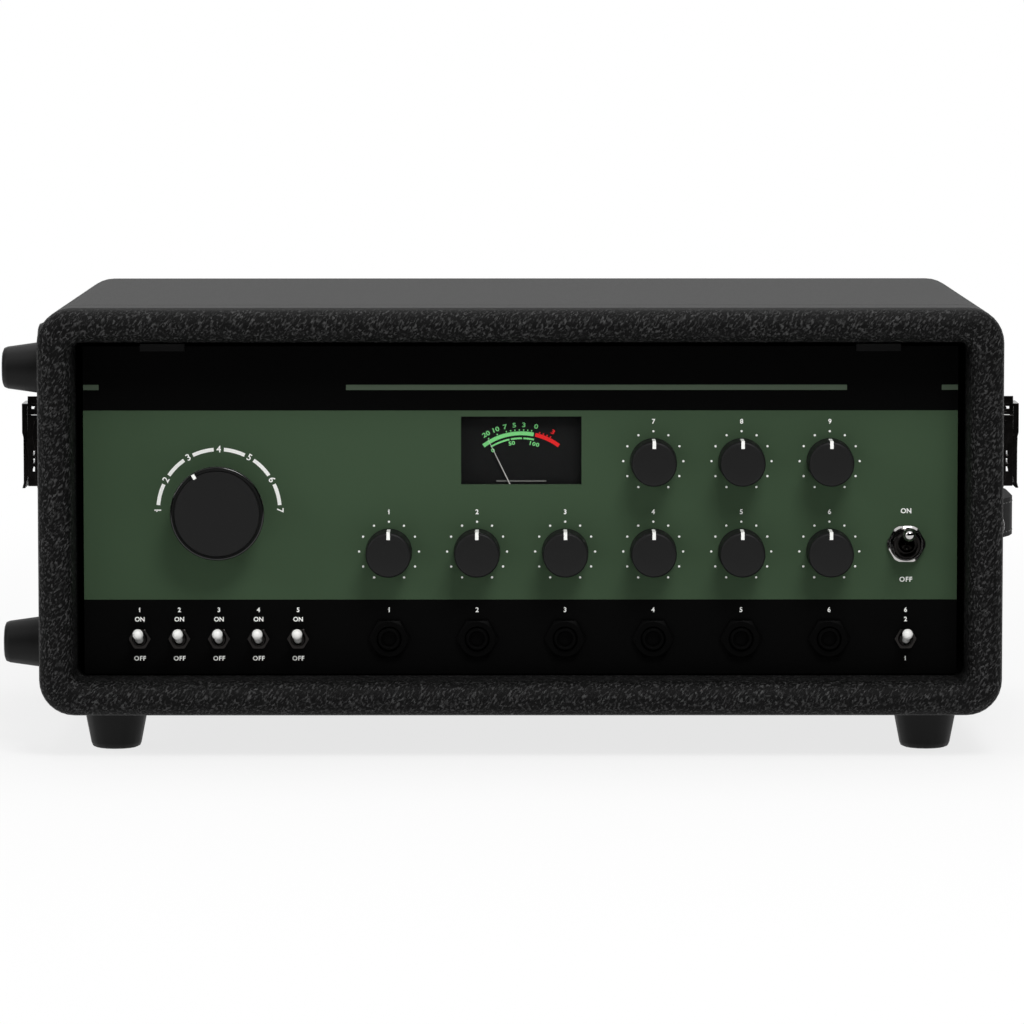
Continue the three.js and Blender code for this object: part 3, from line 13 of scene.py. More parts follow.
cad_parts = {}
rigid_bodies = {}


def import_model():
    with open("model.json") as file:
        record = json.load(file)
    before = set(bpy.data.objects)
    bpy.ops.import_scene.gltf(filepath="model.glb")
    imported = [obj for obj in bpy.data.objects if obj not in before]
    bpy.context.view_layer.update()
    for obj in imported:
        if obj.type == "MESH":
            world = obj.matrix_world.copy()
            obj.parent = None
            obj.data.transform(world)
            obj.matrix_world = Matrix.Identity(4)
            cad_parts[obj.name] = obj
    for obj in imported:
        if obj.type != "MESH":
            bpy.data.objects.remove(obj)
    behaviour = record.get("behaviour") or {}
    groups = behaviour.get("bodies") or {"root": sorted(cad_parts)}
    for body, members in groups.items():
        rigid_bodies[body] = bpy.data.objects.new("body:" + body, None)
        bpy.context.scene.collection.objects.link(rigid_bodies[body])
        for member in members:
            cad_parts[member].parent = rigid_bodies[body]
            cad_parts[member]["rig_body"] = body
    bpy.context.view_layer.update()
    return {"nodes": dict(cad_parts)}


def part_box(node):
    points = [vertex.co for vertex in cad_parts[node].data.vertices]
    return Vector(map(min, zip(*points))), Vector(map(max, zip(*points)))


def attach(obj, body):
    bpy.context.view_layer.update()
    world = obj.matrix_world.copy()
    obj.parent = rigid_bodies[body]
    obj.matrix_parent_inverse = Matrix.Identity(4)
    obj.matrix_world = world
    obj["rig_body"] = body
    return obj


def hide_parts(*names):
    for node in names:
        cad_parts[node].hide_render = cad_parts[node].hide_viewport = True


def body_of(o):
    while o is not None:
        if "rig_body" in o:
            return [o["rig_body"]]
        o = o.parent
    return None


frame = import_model()
MM = 0.001

# %% [markdown]
# Measures are written in millimetres from the point on the table under the middle of the case's front, as
# one would measure on the bench. The solids have their origin under the middle of their outline, so one
# shift joins the two. Knobs and switches stand in rows and columns that divide the front panel, so their
# places are shares of the panel's own width and height.

# %% From bench measures to the frame of the solids
case_low, case_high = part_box("case_body")
SHIFT = Vector(((case_low[0] + case_high[0]) / 2, case_low[1], 0.0))
panel_low, panel_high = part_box("front_panel")
PANEL_Y = (panel_low[1] - SHIFT.y) / MM
HALF_PANEL = (panel_high[0] - panel_low[0]) / 2 / MM
PANEL_FOOT = panel_low[2] / MM
PANEL_TALL = (panel_high[2] - panel_low[2]) / MM


def at(x, y, z):
    return SHIFT + Vector((x, y, z)) * MM


def rise(share):
    return PANEL_FOOT + share * PANEL_TALL


FIRST_COLUMN, COLUMN_PITCH = -0.301, 0.2017
FIRST_TOGGLE, TOGGLE_PITCH = -0.873, 0.0908
COLUMNS = [(FIRST_COLUMN + COLUMN_PITCH * i) * HALF_PANEL for i in range(6)]
TOGGLES = [(FIRST_TOGGLE + TOGGLE_PITCH * i) * HALF_PANEL for i in range(5)]
POWER_X, MODE_X, METER_X = 0.883 * HALF_PANEL, -0.69 * HALF_PANEL, 0.002 * HALF_PANEL
SWITCH_ROW, LOWER_KNOBS, UPPER_KNOBS = rise(0.1076), rise(0.374), rise(0.65)
POWER_Z, MODE_Z, METER_Z = rise(0.3983), rise(0.501), rise(0.5788)
SMALL_SWITCHES = TOGGLES + [POWER_X]
print("shift", [round(v / MM, 2) for v in SHIFT], "columns", [round(x, 1) for x in COLUMNS])

# %% [markdown]
# The camera stands far back, a little above the lid, and looks slightly down, as in a catalogue picture
# taken with a long lens. Its place was found from the case's edges, so it is given as plain numbers.

# %% Camera
SENSOR_WIDTH = 36.0
FOCAL_PIXELS, PICTURE_PIXELS = 5758.76, 1024
CAMERA_PLACE = (-2.189, -2488.38, 329.0)
LOOK_LEFT, LOOK_DOWN, ROLL = 0.0006, 0.0885, -0.0004
camera_data = bpy.data.cameras.new("catalogue_camera")
camera_data.sensor_width = SENSOR_WIDTH
camera_data.lens = FOCAL_PIXELS / PICTURE_PIXELS * SENSOR_WIDTH
camera_data.clip_start = 0.1
camera_data.clip_end = 40.0
camera = bpy.data.objects.new("catalogue_camera", camera_data)
bpy.context.scene.collection.objects.link(camera)
camera.matrix_world = (
    Matrix.Translation(at(*CAMERA_PLACE))
    @ Matrix.Rotation(LOOK_LEFT, 4, "Z")
    @ Matrix.Rotation(math.pi / 2 - LOOK_DOWN, 4, "X")
    @ Matrix.Rotation(ROLL, 4, "Z")
)
bpy.context.scene.camera = camera
bpy.context.scene.view_settings.view_transform = "Standard"
print("camera lens", round(camera_data.lens, 1))

# %% [markdown]
# Materials are trees of nodes. One helper turns a colour picked on a screen into the linear values that the
# renderer works with, and one adds a node and wires it. The others are the steps that the finishes share: a
# grain of a given size in millimetres, a change of range, a sum, a blend of two colours and a raised relief.


# %% Colour and node helpers
def linear(hex_colour, alpha=1.0):
    channels = [int(hex_colour[i:i + 2], 16) / 255 for i in (1, 3, 5)]
    return [c / 12.92 if c <= 0.04045 else ((c + 0.055) / 1.055) ** 2.4 for c in channels] + [alpha]


def wire(tree, node, inputs):
    for name, value in inputs.items():
        if isinstance(value, bpy.types.NodeSocket):
            tree.links.new(value, node.inputs[name])
        else:
            node.inputs[name].default_value = value
    return node


def add(tree, kind, inputs, **settings):
    node = tree.nodes.new(kind)
    for name, value in settings.items():
        setattr(node, name, value)
    return wire(tree, node, inputs)


def grain(tree, place, size, detail=2.0, distortion=0.0):
    inputs = {"Vector": place, "Scale": 1 / (size * MM), "Detail": detail, "Distortion": distortion}
    return add(tree, "ShaderNodeTexNoise", inputs).outputs["Fac"]


def spread(tree, value, low, high, start=0.0, end=1.0, soft=False):
    inputs = {"Value": value, "From Min": start, "From Max": end, "To Min": low, "To Max": high}
    kind = "SMOOTHSTEP" if soft else "LINEAR"
    return add(tree, "ShaderNodeMapRange", inputs, interpolation_type=kind).outputs["Result"]


def reckon(tree, operation, *values):
    return add(tree, "ShaderNodeMath", dict(enumerate(values)), operation=operation).outputs["Value"]


def blend(tree, share, first, second):
    inputs = {"Fac": share, "Color1": first, "Color2": second}
    return add(tree, "ShaderNodeMixRGB", inputs).outputs["Color"]


def raised(tree, height, strength, distance):
    inputs = {"Height": height, "Strength": strength, "Distance": distance * MM}
    return add(tree, "ShaderNodeBump", inputs).outputs["Normal"]


def new_material(name):
    material = bpy.data.materials.new(name)
    material.use_nodes = True
    tree = material.node_tree
    tree.nodes.clear()
    shader = add(tree, "ShaderNodeBsdfPrincipled", {})
    add(tree, "ShaderNodeOutputMaterial", {"Surface": shader.outputs["BSDF"]})
    place = add(tree, "ShaderNodeTexCoord", {}).outputs["Object"]
    return material, tree, shader, place


# %% [markdown]
# Several solids are of more than one material, such as a rubber roller on a steel hub. Where the border
# is a plane, a mask made by comparing the place of each point with bench measures divides them.


# %% A mask for a part of a solid
def within(tree, place, x=None, y=None, z=None):
    axes = add(tree, "ShaderNodeSeparateXYZ", {"Vector": place})
    mask = None
    for axis, limits, offset in (("X", x, SHIFT.x), ("Y", y, SHIFT.y), ("Z", z, 0.0)):
        if limits is None:
            continue
        low, high = [offset + v * MM for v in limits]
        above = reckon(tree, "GREATER_THAN", axes.outputs[axis], low)
        below = reckon(tree, "LESS_THAN", axes.outputs[axis], high)
        between = reckon(tree, "MULTIPLY", above, below)
        mask = between if mask is None else reckon(tree, "MULTIPLY", mask, between)
    return mask


# %% [markdown]
# The case is plywood covered in black vinyl cloth. A heated roller embosses it with short slanted strokes,
# like brushed leather, about 1 mm wide and twice as long. The raised strokes are smoother, and their colour
# is painted lighter as a painted highlight, while the ground between them is painted darker as painted
# shade, so one stretched noise drives the height, the painted light and shade, and the roughness. Hands and
# dust covers rub the flat top smooth, so the relief and the painted highlight are weaker there. Inside, the
# wood only has a coat of black primer.

# %% Embossed black vinyl
STROKE = 0.9
STROKE_LEAN = (0.0, math.radians(-52), math.radians(28))
STROKE_STRETCH = (2.3, 1.0, 1.0)
PRIMED = {"x": (-196.5, 196.5), "y": (29.8, 266.5), "z": (32.0, 183.0)}
WEAR_STARTS, WEAR_FULL = 194.5 * MM, 196.3 * MM
vinyl, tree, shader, place = new_material("embossed_vinyl_cloth")
leaning = {"Vector": place, "Rotation": STROKE_LEAN, "Scale": STROKE_STRETCH}
slanted = add(tree, "ShaderNodeMapping", leaning, vector_type="TEXTURE").outputs["Vector"]
ridge = spread(tree, grain(tree, slanted, STROKE, 1.5, 0.35), 0.0, 1.0, 0.46, 0.66, soft=True)
broken = spread(tree, grain(tree, place, 2.2, 1.0), 0.25, 1.0, 0.38, 0.62)
stroke_height = reckon(tree, "MULTIPLY", ridge, broken)
with_pores = reckon(tree, "MULTIPLY_ADD", grain(tree, place, 0.6), 0.5, stroke_height)
# painted highlight on the raised strokes and painted shade in the ground between them
stroke_light_ramp = add(tree, "ShaderNodeValToRGB", {"Fac": stroke_height})
stroke_light_ramp.color_ramp.elements[0].color = linear("#080808")
stroke_light_ramp.color_ramp.elements[1].color = linear("#414141")
axes = add(tree, "ShaderNodeSeparateXYZ", {"Vector": place})
worn = spread(tree, axes.outputs["Z"], 0.0, 1.0, WEAR_STARTS, WEAR_FULL)
covered = blend(tree, worn, stroke_light_ramp.outputs["Color"], linear("#121212"))
wire(tree, shader, {
    "Base Color": blend(tree, within(tree, place, **PRIMED), covered, linear("#070707")),
    "Roughness": spread(tree, worn, spread(tree, stroke_height, 0.6, 0.36), 0.54),
    "Specular IOR Level": 0.1,
    "Normal": raised(tree, with_pores, spread(tree, worn, 1.0, 0.18), 0.35),
})
print("vinyl stroke", STROKE, "mm")

# %% [markdown]
# Moulded, cast and plated surfaces share one recipe: an even colour, and a fine grain that unsettles the
# gloss and the height a little. What differs is the colour, whether it is a metal, how rough it is and
# how coarse the grain left by its making is. A second colour can fill the part that a mask marks.


# %% Moulded, turned and plated finishes
def finish(name, colour, rough_range, size, depth, metallic=0.0, specular=0.5, second=None, where=None):
    material, tree, shader, place = new_material(name)
    mottle = grain(tree, place, size, 3.0)
    tone = linear(colour)
    if second:
        mask = within(tree, place, **where)
        tone = blend(tree, mask, tone, linear(second[0]))
        metallic = spread(tree, mask, metallic, second[1])
    wire(tree, shader, {
        "Base Color": tone,
        "Metallic": metallic,
        "Roughness": spread(tree, mottle, *rough_range),
        "Specular IOR Level": specular,
        "Normal": raised(tree, mottle, 0.5, depth),
    })
    return material


rubber = finish("moulded_black_rubber", "#0e0e0e", (0.45, 0.58), 1.0, 0.03, specular=0.2)
dark_nickel = finish("black_nickel_plate", "#302e2d", (0.16, 0.3), 3.0, 0.01, 1.0)
chrome = finish("polished_chrome_plate", "#bebcba", (0.05, 0.12), 4.0, 0.004, 1.0)
satin = finish("moulded_white_nylon", "#f6f6f3", (0.3, 0.4), 0.4, 0.004)
steel = finish("ground_steel", "#a8a9ab", (0.26, 0.38), 0.5, 0.01, 1.0)
zinc = finish("zinc_plated_sheet", "#b4b5b2", (0.34, 0.5), 14.0, 0.02, 1.0)
knob_plastic = finish("matte_knob_plastic", "#1b1b1b", (0.42, 0.5), 0.5, 0.012, specular=0.15)
knob_gloss = finish("polished_knob_side", "#0c0d0c", (0.1, 0.16), 2.0, 0.004)
black_plastic = finish("moulded_black_nylon", "#060606", (0.34, 0.46), 0.7, 0.015, specular=0.12)
jack_nylon = finish("moulded_jack_nylon", "#030303", (0.45, 0.56), 0.7, 0.015, specular=0.04)
knob_rim = finish("satin_knob_rim", "#181818", (0.42, 0.5), 0.5, 0.012, specular=0.12)
dial_card = finish("printed_dial_card", "#1b1b1b", (0.6, 0.72), 0.3, 0.004, specular=0.05)
white_ink = finish("white_screen_ink", "#fbfcf8", (0.5, 0.62), 0.4, 0.004, specular=0.3)
green_ink = finish("green_dial_ink", "#84e08a", (0.5, 0.62), 0.4, 0.004, specular=0.2)
red_ink = finish("red_dial_ink", "#ee2425", (0.5, 0.62), 0.4, 0.004, specular=0.2)
# painted highlight: this light grey stands in for light caught by the edge of the meter's frame
bar_painted_highlight = finish("grey_bar_painted_highlight", "#73736f", (0.5, 0.62), 0.5, 0.004, specular=0.1)
needle_lacquer = finish("pale_needle_lacquer", "#c9c6c2", (0.35, 0.45), 0.5, 0.004)
thread = finish("waxed_black_thread", "#303030", (0.45, 0.6), 0.3, 0.03)
strap_vinyl = finish("smooth_strap_vinyl", "#030303", (0.5, 0.62), 1.4, 0.08, specular=0.03)
oxide = finish("oxide_tape", "#33221b", (0.3, 0.4), 2.0, 0.004)
flywheel = finish(
    "brass_wheel_on_steel_shaft", "#c9a35a", (0.2, 0.32), 0.5, 0.01, 1.0,
    second=("#c4c5c7", 1.0), where={"z": (131.0, 160.0)},
)
roller = finish(
    "rubber_roller_on_steel_hub", "#191919", (0.45, 0.6), 0.8, 0.02,
    second=("#b9babc", 1.0), where={"x": (92.6, 99.4), "y": (80.3, 87.1)},
)
inlet = finish(
    "nylon_inlet_with_brass_pins", "#0c0c0c", (0.3, 0.42), 0.7, 0.015,
    second=("#c9b27a", 1.0), where={"x": (118.5, 137.5), "y": (267.0, 279.0), "z": (48.0, 61.0)},
)
transformer = finish(
    "core_laminations_with_wound_coil", "#2c2b2a", (0.38, 0.52), 0.5, 0.05, 0.4,
    second=("#8f5a22", 0.0), where={"z": (80.4, 95.0)},
)
board = finish(
    "laminate_with_capacitors", "#1c5b38", (0.3, 0.45), 2.5, 0.01,
    second=("#15171c", 0.0), where={"z": (49.35, 75.0)},
)
chassis_plate = finish(
    "zinc_chassis_with_black_front", "#b4b5b2", (0.34, 0.5), 14.0, 0.02, 1.0,
    specular=0.25, second=("#060606", 0.0), where={"y": (20.0, 31.0)},
)
deck_plate = finish("bead_blasted_deck_plate", "#bcbec0", (0.34, 0.44), 0.25, 0.02, 1.0)
print("finishes", len(bpy.data.materials))

# %% [markdown]
# The tray cover and the meter window are clear acrylic, cut from sheet and polished.

# %% Clear acrylic
ACRYLIC_INDEX = 1.49
acrylic, tree, shader, place = new_material("clear_acrylic_sheet")
wire(tree, shader, {
    "Base Color": linear("#f8fafa"),
    "Roughness": spread(tree, grain(tree, place, 12.5), 0.0, 0.006),
    "Transmission Weight": 1.0,
    "IOR": ACRYLIC_INDEX,
})
print("acrylic index", ACRYLIC_INDEX)

# %% [markdown]
# The front panel is a black enamelled sheet with a dark green band and thin green stripes screened on it.
# The print has hard edges, so the bands come from the same masks as above. The enamel has the faint
# orange peel of a sprayed coat, a third of a millimetre across.

# %% Enamelled panel with its printed bands
BAND_Z, STRIPE_Z = (67.15, 150.35), (159.35, 161.65)
STRIPES_X = ((-191.5, -184.7), (-76.4, 143.0), (184.5, 192.2))
panel_paint, tree, shader, place = new_material("screened_panel_enamel")
stripes = 0.0
for limits in STRIPES_X:
    stripes = reckon(tree, "MAXIMUM", stripes, within(tree, place, x=limits, z=STRIPE_Z))
base = blend(tree, within(tree, place, z=BAND_Z), linear("#040404"), linear("#3c4e3a"))
peel = grain(tree, place, 0.35)
wire(tree, shader, {
    "Base Color": blend(tree, stripes, base, linear("#4e5b4c")),
    "Roughness": spread(tree, peel, 0.46, 0.56),
    "Specular IOR Level": 0.04,
    "Normal": raised(tree, peel, 0.3, 0.02),
})
print("stripes", len(STRIPES_X))

# %% [markdown]
# New pieces are shaped with the same operators that a modeller uses by hand. Round ones start as a disc
# whose face is pushed up and widened or narrowed ring by ring, like a piece on a lathe. Angular ones
# start as a block whose edges are broken.


# %% Modelling helpers
def take(piece):
    if bpy.context.object and bpy.context.object.mode != "OBJECT":
        bpy.ops.object.mode_set(mode="OBJECT")
    bpy.ops.object.select_all(action="DESELECT")
    if piece is not None:
        piece.select_set(True)
        bpy.context.view_layer.objects.active = piece
    return piece


def edit_all(piece):
    take(piece)
    bpy.ops.object.mode_set(mode="EDIT")
    bpy.ops.mesh.select_all(action="SELECT")


def leave_edit():
    bpy.ops.object.mode_set(mode="OBJECT")


def settle(piece):
    take(piece)
    bpy.ops.object.transform_apply(location=True, rotation=True, scale=True)
    return piece


def finished(piece, kind, **settings):
    take(piece)
    modifier = piece.modifiers.new("step", kind)
    for name, value in settings.items():
        setattr(modifier, name, value)
    bpy.ops.object.modifier_apply(modifier="step")
    return piece


def cut(piece, tool, operation="DIFFERENCE"):
    finished(piece, "BOOLEAN", object=tool, operation=operation, solver="EXACT")
    bpy.data.objects.remove(tool)
    return piece


def smooth(piece, angle=32.0):
    take(piece)
    bpy.ops.object.shade_smooth_by_angle(angle=math.radians(angle))
    return piece


def ringed(name, rings, sides=48):
    take(None)
    radius, rise_now = rings[0]
    bpy.ops.mesh.primitive_circle_add(
        vertices=sides, radius=radius * MM, fill_type="NGON", location=(0, 0, rise_now * MM)
    )
    piece = bpy.context.object
    piece.name = name
    edit_all(piece)
    for next_radius, next_rise in rings[1:]:
        step = (0, 0, (next_rise - rise_now) * MM)
        bpy.ops.mesh.extrude_region_move(TRANSFORM_OT_translate={"value": step})
        share = next_radius / radius
        bpy.ops.transform.resize(value=(share, share, 1), center_override=(0, 0, next_rise * MM))
        radius, rise_now = next_radius, next_rise
    bpy.ops.mesh.select_all(action="SELECT")
    bpy.ops.mesh.normals_make_consistent(inside=False)
    leave_edit()
    return settle(piece)


def block(name, x, y, z, edge=0.0):
    take(None)
    bpy.ops.mesh.primitive_cube_add(size=1.0)
    piece = bpy.context.object
    piece.name = name
    piece.scale = ((x[1] - x[0]) * MM, (y[1] - y[0]) * MM, (z[1] - z[0]) * MM)
    piece.location = Vector((x[0] + x[1], y[0] + y[1], z[0] + z[1])) * MM / 2
    settle(piece)
    if edge:
        finished(piece, "BEVEL", width=edge * MM, segments=2)
    return piece


def facing_front(piece, x, y, z, turn=0.0, tilt=0.0):
    piece.rotation_euler = (math.pi / 2 + math.radians(tilt), math.radians(turn), 0)
    piece.location = at(x, y, z)
    return settle(piece)


def twin(piece, name):
    copy = bpy.data.objects.new(name, piece.data.copy())
    bpy.context.scene.collection.objects.link(copy)
    return copy


def joined(name, pieces):
    take(pieces[0])
    for piece in pieces:
        piece.select_set(True)
    bpy.ops.object.join()
    pieces[0].name = name
    return settle(pieces[0])


def dressed(piece, material, body):
    piece.data.materials.clear()
    piece.data.materials.append(material)
    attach(piece, body)
    return piece


# %% [markdown]
# A solid is made of loose flat triangles. Where it is round, a copy with its points merged can be shaded
# smoothly, and where it is thin pressed metal the copy gets broken edges, which catch a line of light.
# Weighted normals keep the flat faces flat while the rounded edges between them blend. The two clear panes
# throw no shadow, since light that goes through thin acrylic lands almost where it would without it.


# %% Solids with smooth faces and broken edges
SAME_POINT = 0.001 * MM


def surfaced(node, material, edge=0.0, angle=35.0):
    source = frame["nodes"][node]
    copy = twin(source, node + "_surface")
    edit_all(copy)
    bpy.ops.mesh.remove_doubles(threshold=SAME_POINT)
    bpy.ops.mesh.dissolve_limited(angle_limit=math.radians(0.6))
    leave_edit()
    if edge:
        sharp = {"limit_method": "ANGLE", "angle_limit": math.radians(40)}
        finished(copy, "BEVEL", width=edge * MM, segments=2, **sharp)
    smooth(copy, angle)
    finished(copy, "WEIGHTED_NORMAL", keep_sharp=True, weight=80)
    dressed(copy, material, body_of(source)[0])
    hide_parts(node)
    return copy


for node in ("case_body", "lid_shell"):
    surfaced(node, vinyl)
surfaced("handle_strap", strap_vinyl)
for node in frame["nodes"]:
    if "_foot_" in node:
        surfaced(node, rubber)
    elif "_latch_" in node or node.startswith("handle_cap"):
        surfaced(node, dark_nickel, edge=0.15)
for node, material in {
    "lid_hinge_lower_leaf": dark_nickel,
    "lid_hinge_upper_leaf": dark_nickel,
    "lid_hinge_pin": steel,
    "capstan_flywheel": flywheel,
    "pinch_roller": roller,
    "pinch_arm": steel,
    "tape_heads": steel,
    "tape_loop": oxide,
    "motor": steel,
    "power_transformer": transformer,
    "reverb_tank": zinc,
    "circuit_board": board,
    "chassis": chassis_plate,
    "tape_deck": deck_plate,
    "rear_inlet": inlet,
    "meter_case": black_plastic,
    "tray_cover": acrylic,
    "meter_window": acrylic,
}.items():
    surfaced(node, material)
frame["nodes"]["front_panel"].data.materials.clear()
frame["nodes"]["front_panel"].data.materials.append(panel_paint)
for node in ("tray_cover", "meter_window"):
    pane = bpy.data.objects[node + "_surface"]
    pane.visible_diffuse = False
    pane.visible_shadow = False

# %% [markdown]
# Each small knob is one turned shape: a skirt, a slightly tapered grip and a flat front with a rounded
# edge. Its white mark is a thin inlay let into the front face and down the side. One knob is modelled,
# then copied. The knobs stand a little off the panel.

# %% Nine small knobs
KNOB_Y = PANEL_Y - 0.6
knob_rings = [
    (9.9, 0.0), (10.2, 0.3), (10.2, 1.6), (10.05, 1.9), (10.0, 2.6), (9.95, 15.4), (9.8, 16.1),
    (9.5, 16.6), (9.1, 16.9), (8.6, 17.0), (3.0, 17.0),
]
knob_shape = smooth(ringed("knob_shape", knob_rings, 64))
face_mark = block("face_mark", (-0.75, 0.75), (6.7, 9.9), (16.0, 17.06), 0.05)
side_mark = block("side_mark", (-0.75, 0.75), (9.0, 10.05), (2.8, 16.3), 0.05)
mark_shape = joined("mark_shape", [face_mark, side_mark])
knob_places = {
    "input_volume": (0, LOWER_KNOBS),
    "chorus_rate": (1, LOWER_KNOBS),
    "chorus_depth": (2, LOWER_KNOBS),
    "reverb_volume": (3, LOWER_KNOBS),
    "speed": (4, LOWER_KNOBS),
    "echo_volume": (5, LOWER_KNOBS),
    "bass": (3, UPPER_KNOBS),
    "treble": (4, UPPER_KNOBS),
    "feedback": (5, UPPER_KNOBS),
}
for use, (column, z) in knob_places.items():
    node = "knob_" + use
    grip = facing_front(twin(knob_shape, node + "_grip"), COLUMNS[column], KNOB_Y, z)
    dressed(grip, knob_plastic, node)
    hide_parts(node)
    mark = facing_front(twin(mark_shape, node + "_mark"), COLUMNS[column], KNOB_Y, z)
    dressed(mark, white_ink, node)
print("knobs", len(knob_places))

# %% [markdown]
# The mode knob is a large turned disc that widens towards its front, so fingers find an edge behind it. A
# groove parts the matt face from a satin chamfer, and a fine polished bead runs round the widest place,
# where the lamp shows as a line. The faces are picked out by their distance from the axis and the foot.

# %% Mode knob
FACE_RADIUS = 18.35
CHAMFER_FOOT, FACE_FOOT = 17.8, 19.0
MARK_TURN = -31.5
mode_rings = [
    (18.6, 0.0), (18.8, 0.3), (19.5, 12.0), (20.26, 16.3), (20.5, 16.65), (20.55, 17.0), (20.48, 17.25),
    (20.32, 17.47), (20.1, 17.62), (19.82, 17.7), (18.9, 18.9), (18.75, 18.6), (18.5, 18.6),
    (18.45, 19.45), (18.3, 19.6), (6.0, 19.6),
]
mode_grip = smooth(ringed("mode_knob_grip", mode_rings, 128))
for material in (knob_plastic, knob_rim, knob_gloss):
    mode_grip.data.materials.append(material)
for face in mode_grip.data.polygons:
    height = face.center.z / MM
    if Vector(face.center[:2]).length > FACE_RADIUS * MM:
        face.material_index = 1 if CHAMFER_FOOT < height < FACE_FOOT else 2
    if height > FACE_FOOT:
        face.material_index = 0
facing_front(mode_grip, MODE_X, KNOB_Y, MODE_Z)
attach(mode_grip, "mode_knob")
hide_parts("mode_knob")
mode_mark = block("mode_knob_mark", (-0.7, 0.7), (17.9, 20.1), (17.6, 19.66), 0.08)
facing_front(mode_mark, MODE_X, KNOB_Y, MODE_Z, turn=MARK_TURN)
dressed(mode_mark, white_ink, "mode_knob")
print("mode knob faces", len(mode_grip.data.polygons))

# %% [markdown]
# Dials are printed in raised white ink. A dot is a very thin disc, and one dot is copied round each knob
# in steps of 30 degrees with a gap at the bottom, where the knob's travel ends.

# %% Dots round the small knobs
DOT_RADIUS = 0.5
DOT_RING = 13.15
DIAL_STEP = 30
INK = 0.06
dot_rings = [(DOT_RADIUS, -0.02), (DOT_RADIUS, INK * 0.6), (DOT_RADIUS * 0.8, INK)]
dot_shape = ringed("dot_shape", dot_rings, 12)
dots = []
for column, z in knob_places.values():
    for step in range(-5, 6):
        angle = math.radians(DIAL_STEP * step)
        x = COLUMNS[column] + DOT_RING * math.sin(angle)
        dots.append(facing_front(twin(dot_shape, "dot"), x, PANEL_Y, z + DOT_RING * math.cos(angle)))
dot_count = len(dots)
dressed(joined("dial_dots", dots), white_ink, "case")
print("dots", dot_count)

# %% [markdown]
# Arcs of the printed dials are strips swept round their centre with the spin operator. The angles are
# counted clockwise from the top, as on a clock.


# %% Printed arcs
def arc_strip(name, inner, outer, start, end, steps=12):
    take(None)
    bpy.ops.mesh.primitive_plane_add(size=1.0)
    strip = bpy.context.object
    strip.name = name
    strip.scale = (INK * MM, (outer - inner) * MM, 1)
    strip.rotation_euler = (0, math.pi / 2, 0)
    strip.location = (0, (inner + outer) / 2 * MM, INK * MM / 2)
    settle(strip)
    strip.rotation_euler = (0, 0, -math.radians(start))
    settle(strip)
    edit_all(strip)
    bpy.ops.mesh.spin(
        steps=steps, angle=math.radians(end - start), center=(0, 0, 0), axis=(0, 0, 1), dupli=False
    )
    bpy.ops.mesh.select_all(action="SELECT")
    bpy.ops.mesh.remove_doubles(threshold=SAME_POINT)
    bpy.ops.mesh.normals_make_consistent(inside=False)
    leave_edit()
    return settle(strip)


MODE_RING = 26.7
ARC_HALF_WIDTH, ARC_HALF_ANGLE = 0.8, 10.2
arcs = []
for step in range(6):
    middle = -75 + DIAL_STEP * step
    radii = (MODE_RING - ARC_HALF_WIDTH, MODE_RING + ARC_HALF_WIDTH)
    arc = arc_strip("mode_arc", *radii, middle - ARC_HALF_ANGLE, middle + ARC_HALF_ANGLE)
    arcs.append(facing_front(arc, MODE_X, PANEL_Y, MODE_Z))
arc_count = len(arcs)
dressed(joined("mode_dial_arcs", arcs), white_ink, "case")
print("arcs", arc_count)

# %% [markdown]
# Figures and the words ON and OFF are text, made a mesh and laid on the panel with a little thickness.
# Each knob, jack and switch has a plain number where a front panel has its legend. The plain font draws
# the figure 1 as a bare stroke, so it gets a short slanted flag.

# %% Printed figures
FLAG_LEAN = math.radians(38)


def lettering(words, size, x, z, turn=0.0, y=PANEL_Y, bold=0.07, wide=1.0):
    take(None)
    bpy.ops.object.text_add()
    text = bpy.context.object
    text.data.body = words
    text.data.size = size * MM
    text.data.align_x = "CENTER"
    text.data.align_y = "CENTER"
    text.data.extrude = INK * MM / 2
    text.data.offset = bold * MM
    text.data.resolution_u = 4
    text.data.space_character = 1.13 if len(words) > 2 else 1.02
    bpy.ops.object.convert(target="MESH")
    piece = bpy.context.object
    if words == "1":
        flag_x, flag_y = (-0.17 * size, 0.02 * size), (-0.055 * size, 0.045 * size)
        flag = block("flag", flag_x, flag_y, (-INK / 2, INK / 2))
        flag.rotation_euler = (0, 0, FLAG_LEAN)
        flag.location = (-0.04 * size * MM, 0.21 * size * MM, 0)
        piece = joined("figure", [piece, settle(flag)])
    piece.scale = (wide, 1, 1)
    return facing_front(settle(piece), x, y - INK / 2, z, turn)


ON_ROW, OFF_ROW, NUMBER_ROW = 58.35, 41.1, 62.5
POWER_ON_ROW, POWER_OFF_ROW = 106.1, 75.9
KNOB_NUMBER_RISE = 17.4
MODE_TEXT, POWER_TEXT, NUMBER_TEXT, SWITCH_TEXT = 4.1, 3.0, 2.9, 2.75
figures = []
for step in range(7):
    turn = math.radians(-90 + DIAL_STEP * step)
    x, z = MODE_X + MODE_RING * math.sin(turn), MODE_Z + MODE_RING * math.cos(turn)
    figures.append(lettering(str(step + 1), MODE_TEXT, x, z, math.degrees(turn)))
for number, x in enumerate(SMALL_SWITCHES):
    upper, lower = ("2", "1") if x == POWER_X else ("ON", "OFF")
    figures.append(lettering(upper, SWITCH_TEXT, x, ON_ROW))
    figures.append(lettering(lower, SWITCH_TEXT, x, OFF_ROW))
    figures.append(lettering(str(number + 1), SWITCH_TEXT, x, NUMBER_ROW))
figures.append(lettering("ON", POWER_TEXT, POWER_X, POWER_ON_ROW))
figures.append(lettering("OFF", POWER_TEXT, POWER_X, POWER_OFF_ROW))
for number, x in enumerate(COLUMNS):
    figures.append(lettering(str(number + 1), NUMBER_TEXT, x, NUMBER_ROW))
